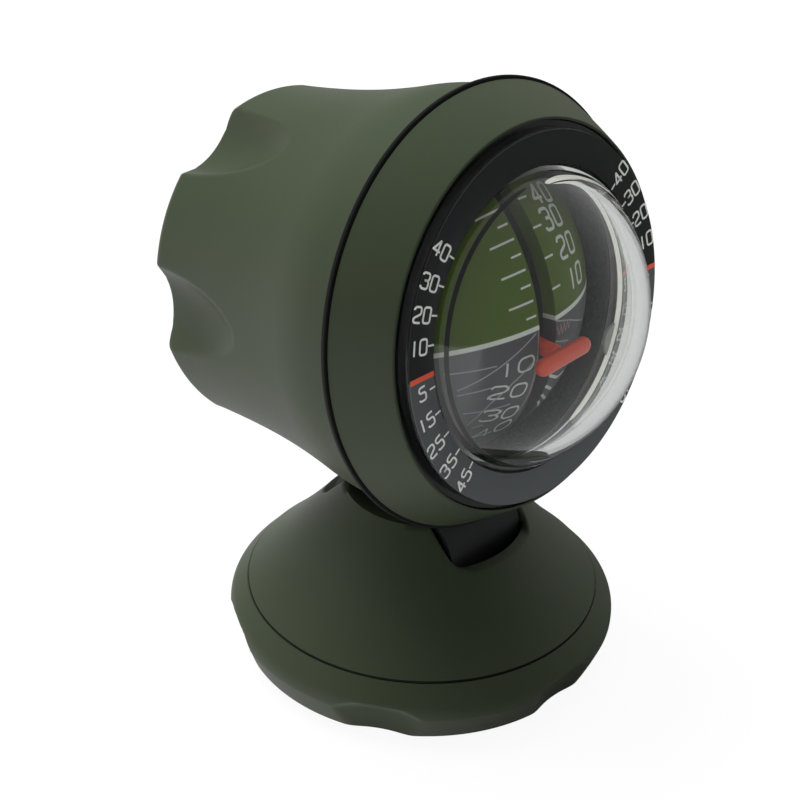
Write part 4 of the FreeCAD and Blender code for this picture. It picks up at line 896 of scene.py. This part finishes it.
def part_turned(outline, first, last, taper=8.0, steps=140):
    """Carries a closed outline from one angle to another, in degrees; the outline shrinks
    to a point over the last taper degrees at both ends, as a root does, to close them."""
    angle = np.linspace(first, last, steps)
    size = np.clip(np.minimum(angle - first, last - angle) / taper, 0, 1) ** 0.5
    middle = outline[:-1].mean(axis=0)
    place = middle + (outline - middle)[:, None, :] * size[None, :, None]
    angle = np.radians(angle)
    return np.stack([place[..., 0] * np.cos(angle), place[..., 0] * np.sin(angle),
                     place[..., 1]], axis=2)


# Ink under the flange, half sunk into its back face, which is 7 mm before the seam.
mask_outline = np.array([(24.0, 6.98), (28.2, 6.98), (28.2, 7.02), (21.5, 7.02), (21.5, 6.98),
                         (24.0, 6.98)])
# Besides the ink under the flange, this piece carries the black line on the dome's foot at the
# left and the two hairlines at the right, all three painted shade.
make_piece("window_mask_and_painted_shade",
           [in_head(turned_grid(mask_outline, 240)),
            in_head(part_turned(inside_band(9.75, 10.3, INK_DEEP), SHADE_LINE_FROM, SHADE_LINE_TO)),
            in_head(part_turned(inside_band(9.35, 9.6, INK_DEEP), HIGHLIGHT_FROM, HIGHLIGHT_TO)),
            in_head(part_turned(inside_band(10.75, 10.95, INK_DEEP), HIGHLIGHT_FROM, HIGHLIGHT_TO))],
           "head", black_mask_and_shade)
# The bead: a pale glowing ring that stands for a highlight along the dome's inner edge.
bead = rounded([(19.74, 10.2, 0), (19.37, 10.73, 0.25), (18.85, 10.45, 0.35), (19.3, 9.6, 0.3),
                (20.02, 9.7, 0.25), (19.74, 10.2, 0)], 8)
make_piece("window_bead_painted_highlight", [in_head(part_turned(bead, HIGHLIGHT_FROM, HIGHLIGHT_TO))], "head",
           highlight_bead_glow)

# ---------------------------------------------------------------------------------------
# Dial ring.  Printed polyester film on the flange: black above, dark grey below, its print
# turned by a degree as it was stuck on by hand.

PRINT_TURN = 1.25              # degrees clockwise for the reader
RING_IN = 22.45
RING_OUT = 27.2
RING_FACE = 9.9


def ring_film():
    """Printed polyester, satin: its two grounds part at the print's level diameter, and
    little gloss keeps them dark under the dome."""
    material, tree, shader, where = new_material("dial_film_black_grey")
    rise = height_over(tree, where, SEAM, math.tan(math.radians(PRINT_TURN)))
    side = add_node(tree, "ShaderNodeMapRange", {"From Min": -0.03 * MM, "From Max": 0.03 * MM},
                    {"Value": rise})
    mix = add_node(tree, "ShaderNodeMix",
                   {"data_type": "RGBA", 6: linear("#4c5052"), 7: linear("#1c1d1f")},
                   {0: side.outputs[0]})
    tree.links.new(mix.outputs[2], shader.inputs["Base Color"])
    shader.inputs["Roughness"].default_value = 0.42
    shader.inputs["Specular IOR Level"].default_value = 0.3
    return material


# The film's back is pressed 0.02 mm into the flange, so that no air is left between the
# two; its outer edge stands clear of the flange's rounded one.
ring_outline = rounded([(RING_OUT, 9.7, 0), (RING_OUT, RING_FACE, 0.05),
                        (RING_IN, RING_FACE, 0.05), (RING_IN, 9.63, 0),
                        (RING_OUT - 0.3, 9.63, 0), (RING_OUT, 9.66, 0),
                        (RING_OUT, 9.7, 0)])
make_piece("dial_film_ring", [in_head(turned_grid(ring_outline, 300))], "head", ring_film(),
           ["dial_ring"])

# ---------------------------------------------------------------------------------------
# Dial figures.  White and orange-red screen-printed ink on the film: tens above, fives
# below, a tick at each, and a red line at each end of the level diameter.

# Screen-printed orange-red: full and even, a shade glossier than the ball's inks.
red_ink = printed_ink("red_ink_printed", "#e2502c", 0.45)


def on_ring(grids, angle, radius, left):
    """Sets strokes on the ring at an angle in degrees above its left or right end.  They
    read along the radius: towards the middle on the left, away from it on the right."""
    turn = math.radians((-angle if left else angle) - PRINT_TURN)
    result = []
    for grid in grids:
        across = grid[..., 0] + (-radius if left else radius)
        x = across * math.cos(turn) - grid[..., 1] * math.sin(turn)
        y = across * math.sin(turn) + grid[..., 1] * math.cos(turn)
        result.append(in_head(np.stack([x, y, RING_FACE + grid[..., 2]], axis=-1)))
    return result


TICK_HALF = 0.55
TICK_R = 23.05
LEVEL_HALF = 2.35              # half the length of a level line
LEVEL_R = 24.8

ring_white = []
for text, angle in (("10", 10.2), ("20", 20.3), ("30", 30.3), ("40", 40.5), ("5", -5.0),
                    ("15", -15.0), ("25", -25.0), ("35", -34.9), ("45", -44.9)):
    if angle > 0:
        figures = figure_grids(text, width=1.34, height=2.14, advance=1.9, stroke=0.31,
                               bend=0.4)
    else:
        figures = figure_grids(text, width=1.25, height=2.0, advance=1.8, stroke=0.3,
                               bend=0.4)
    for left in (True, False):
        middle = 25.06 if len(text) == 1 else (25.5 if left else 25.4)
        ring_white += on_ring(figures, angle, middle, left)
        tick = line_grid([(-TICK_HALF, 0), (TICK_HALF, 0)], 0.26)
        ring_white += on_ring([tick], angle, TICK_R, left)
make_piece("dial_figures", ring_white, "head", white_ink, smooth=30)

ring_red = []
for left in (True, False):
    level = line_grid([(-LEVEL_HALF, 0), (LEVEL_HALF, 0)], 0.75)
    ring_red += on_ring([level], 0.0, LEVEL_R, left)
make_piece("dial_level_lines", ring_red, "head", red_ink, smooth=30)

# ---------------------------------------------------------------------------------------
# Table.  A pale matt top under the object.  Seen directly it is nearly plain white, and a
# share of its lit colour stays in it, so that the object's shadow shows.

THROUGH_GLASS = 0.62           # white of the surroundings as seen through the window
PLAIN_WHITE = 0.93             # share of plain white in the table; the rest is lit
TABLE_HALF = 3.0


def ray_kinds(tree):
    """Three values for a ray: whether it comes off a gloss; whether it is seen, that is
    from the camera, off a gloss or through glass; and the white that it meets, which is 1
    for the camera and THROUGH_GLASS through glass."""
    rays = add_node(tree, "ShaderNodeLightPath")
    camera = rays.outputs["Is Camera Ray"]
    glass = rays.outputs["Is Transmission Ray"]
    gloss = rays.outputs["Is Glossy Ray"]
    bent = add_node(tree, "ShaderNodeMath", {"operation": "MAXIMUM"}, {0: glass, 1: gloss})
    seen = add_node(tree, "ShaderNodeMath", {"operation": "MAXIMUM"},
                    {0: camera, 1: bent.outputs[0]})
    pale = add_node(tree, "ShaderNodeMath", {"operation": "MULTIPLY", 1: THROUGH_GLASS},
                    {0: glass})
    white = add_node(tree, "ShaderNodeMath", {"operation": "MAXIMUM"},
                     {0: camera, 1: pale.outputs[0]})
    return gloss, seen.outputs[0], white.outputs[0]


def pale_table():
    """Matt pale laminate: paper lies on it to the left and behind, so a gloss meets white
    there and the darker room in front and to the right, with a soft edge by x - y."""
    material, tree, shader, where = new_material("floor_pale_matt")
    shader.inputs["Base Color"].default_value = linear("#f6f6f6")
    shader.inputs["Roughness"].default_value = 0.9
    aside = add_node(tree, "ShaderNodeVectorMath", {"operation": "DOT_PRODUCT", 1: (1, -1, 0)},
                     {0: where})
    paper = add_node(tree, "ShaderNodeMapRange",
                     {"interpolation_type": "SMOOTHSTEP", "From Min": -20 * MM,
                      "From Max": 30 * MM, "To Min": 0.9, "To Max": 0.12},
                     {"Value": aside.outputs["Value"]})
    gloss, seen, white = ray_kinds(tree)
    sheen = add_node(tree, "ShaderNodeMath", {"operation": "MULTIPLY"},
                     {0: gloss, 1: paper.outputs[0]})
    strength = add_node(tree, "ShaderNodeMath", {"operation": "MAXIMUM"},
                        {0: white, 1: sheen.outputs[0]})
    glow = add_node(tree, "ShaderNodeEmission", {"Color": linear("#ffffff")},
                    {"Strength": strength.outputs[0]})
    share = add_node(tree, "ShaderNodeMath", {"operation": "MULTIPLY", 1: PLAIN_WHITE},
                     {0: seen})
    both = add_node(tree, "ShaderNodeMixShader", None,
                    {0: share.outputs[0], 1: shader.outputs[0], 2: glow.outputs[0]})
    end_with(tree, both)
    return material


mesh = bpy.data.meshes.new("floor")
mesh.from_pydata([(-TABLE_HALF, -TABLE_HALF, 0), (TABLE_HALF, -TABLE_HALF, 0),
                  (TABLE_HALF, TABLE_HALF, 0), (-TABLE_HALF, TABLE_HALF, 0)],
                 [], [(0, 1, 2, 3)])
mesh.materials.append(pale_table())
floor = bpy.data.objects.new("floor", mesh)
bpy.context.scene.collection.objects.link(floor)

# ---------------------------------------------------------------------------------------
# Lamps and tent.  Two soft lamps, and a light tent round the table that is open in front
# towards a dim room.  In a gloss and through the window the tent shows dimmer.

LAMP_AIM = (0, 0, 0.05)
ROOM_SIDE = (-0.42, -0.84, 0.34)       # the way out of the tent
TENT_IN_GLOSS = 0.32


def add_lamp(name, spot, size, power):
    """A soft square lamp at a place, aimed at the object and hidden from gloss and glass."""
    data = bpy.data.lights.new(name, "AREA")
    data.size = size
    data.energy = power
    lamp = bpy.data.objects.new(name, data)
    bpy.context.scene.collection.objects.link(lamp)
    lamp.location = spot
    lamp.visible_glossy = False
    lamp.visible_transmission = False
    aim = Vector(LAMP_AIM) - Vector(spot)
    lamp.rotation_euler = aim.to_track_quat("-Z", "Y").to_euler()


add_lamp("key", spot=(-0.08, 0.30, 0.65), size=0.45, power=6.2)
add_lamp("fill", spot=(0.50, 0.10, 0.40), size=0.40, power=1.3)

world = bpy.data.worlds.new("studio")
bpy.context.scene.world = world
world.use_nodes = True
tree = world.node_tree
tree.nodes.clear()
way = add_node(tree, "ShaderNodeTexCoord").outputs["Generated"]
facing = add_node(tree, "ShaderNodeVectorMath", {"operation": "DOT_PRODUCT", 1: ROOM_SIDE},
                  {0: way})
tent = add_node(tree, "ShaderNodeMapRange",
                {"interpolation_type": "SMOOTHSTEP", "From Min": 0.9, "From Max": -0.1,
                 "To Min": 0.12, "To Max": 1.2}, {"Value": facing.outputs["Value"]})
gloss, seen, white = ray_kinds(tree)
dimmed = add_node(tree, "ShaderNodeMapRange", {"To Min": 1.0, "To Max": TENT_IN_GLOSS},
                  {"Value": seen})
sheen = add_node(tree, "ShaderNodeMath", {"operation": "MULTIPLY"},
                 {0: tent.outputs[0], 1: dimmed.outputs[0]})
strength = add_node(tree, "ShaderNodeMath", {"operation": "MAXIMUM"},
                    {0: sheen.outputs[0], 1: white})
light = add_node(tree, "ShaderNodeBackground", {"Color": linear("#ffffff")},
                 {"Strength": strength.outputs[0]})
add_node(tree, "ShaderNodeOutputWorld", None, {0: light.outputs[0]})

# ---------------------------------------------------------------------------------------
# Camera.  It stands in front and to the left, 31 degrees above the table and rolled by
# a degree or two.

IMAGE = 800
AZIMUTH = math.radians(-47.72)
ELEVATION = math.radians(31.01)
ROLL = math.radians(1.71)
DISTANCE = 289.99 * MM
SCALE = 6.47                   # pixels a millimetre in the plane of the target
TARGET_ACROSS = -4.43 * MM
TARGET_UP = 42.83 * MM

right = Vector((math.cos(AZIMUTH), math.sin(AZIMUTH), 0))
back = Vector((math.sin(AZIMUTH) * math.cos(ELEVATION),
               -math.cos(AZIMUTH) * math.cos(ELEVATION), math.sin(ELEVATION)))
up = back.cross(right)
turned_right = math.cos(ROLL) * right + math.sin(ROLL) * up
turned_up = -math.sin(ROLL) * right + math.cos(ROLL) * up
spot = right * TARGET_ACROSS + Vector((0, 0, TARGET_UP)) + back * DISTANCE
lens_data = bpy.data.cameras.new("view")
lens_data.sensor_width = 36.0
lens_data.lens = SCALE * (DISTANCE / MM) * lens_data.sensor_width / IMAGE
lens_data.clip_start = 0.01
camera = bpy.data.objects.new("view", lens_data)
bpy.context.scene.collection.objects.link(camera)
camera.matrix_world = Matrix((
    (turned_right.x, turned_up.x, back.x, spot.x),
    (turned_right.y, turned_up.y, back.y, spot.y),
    (turned_right.z, turned_up.z, back.z, spot.z),
    (0, 0, 0, 1)))
bpy.context.scene.camera = camera
bpy.context.scene.view_settings.view_transform = "Standard"
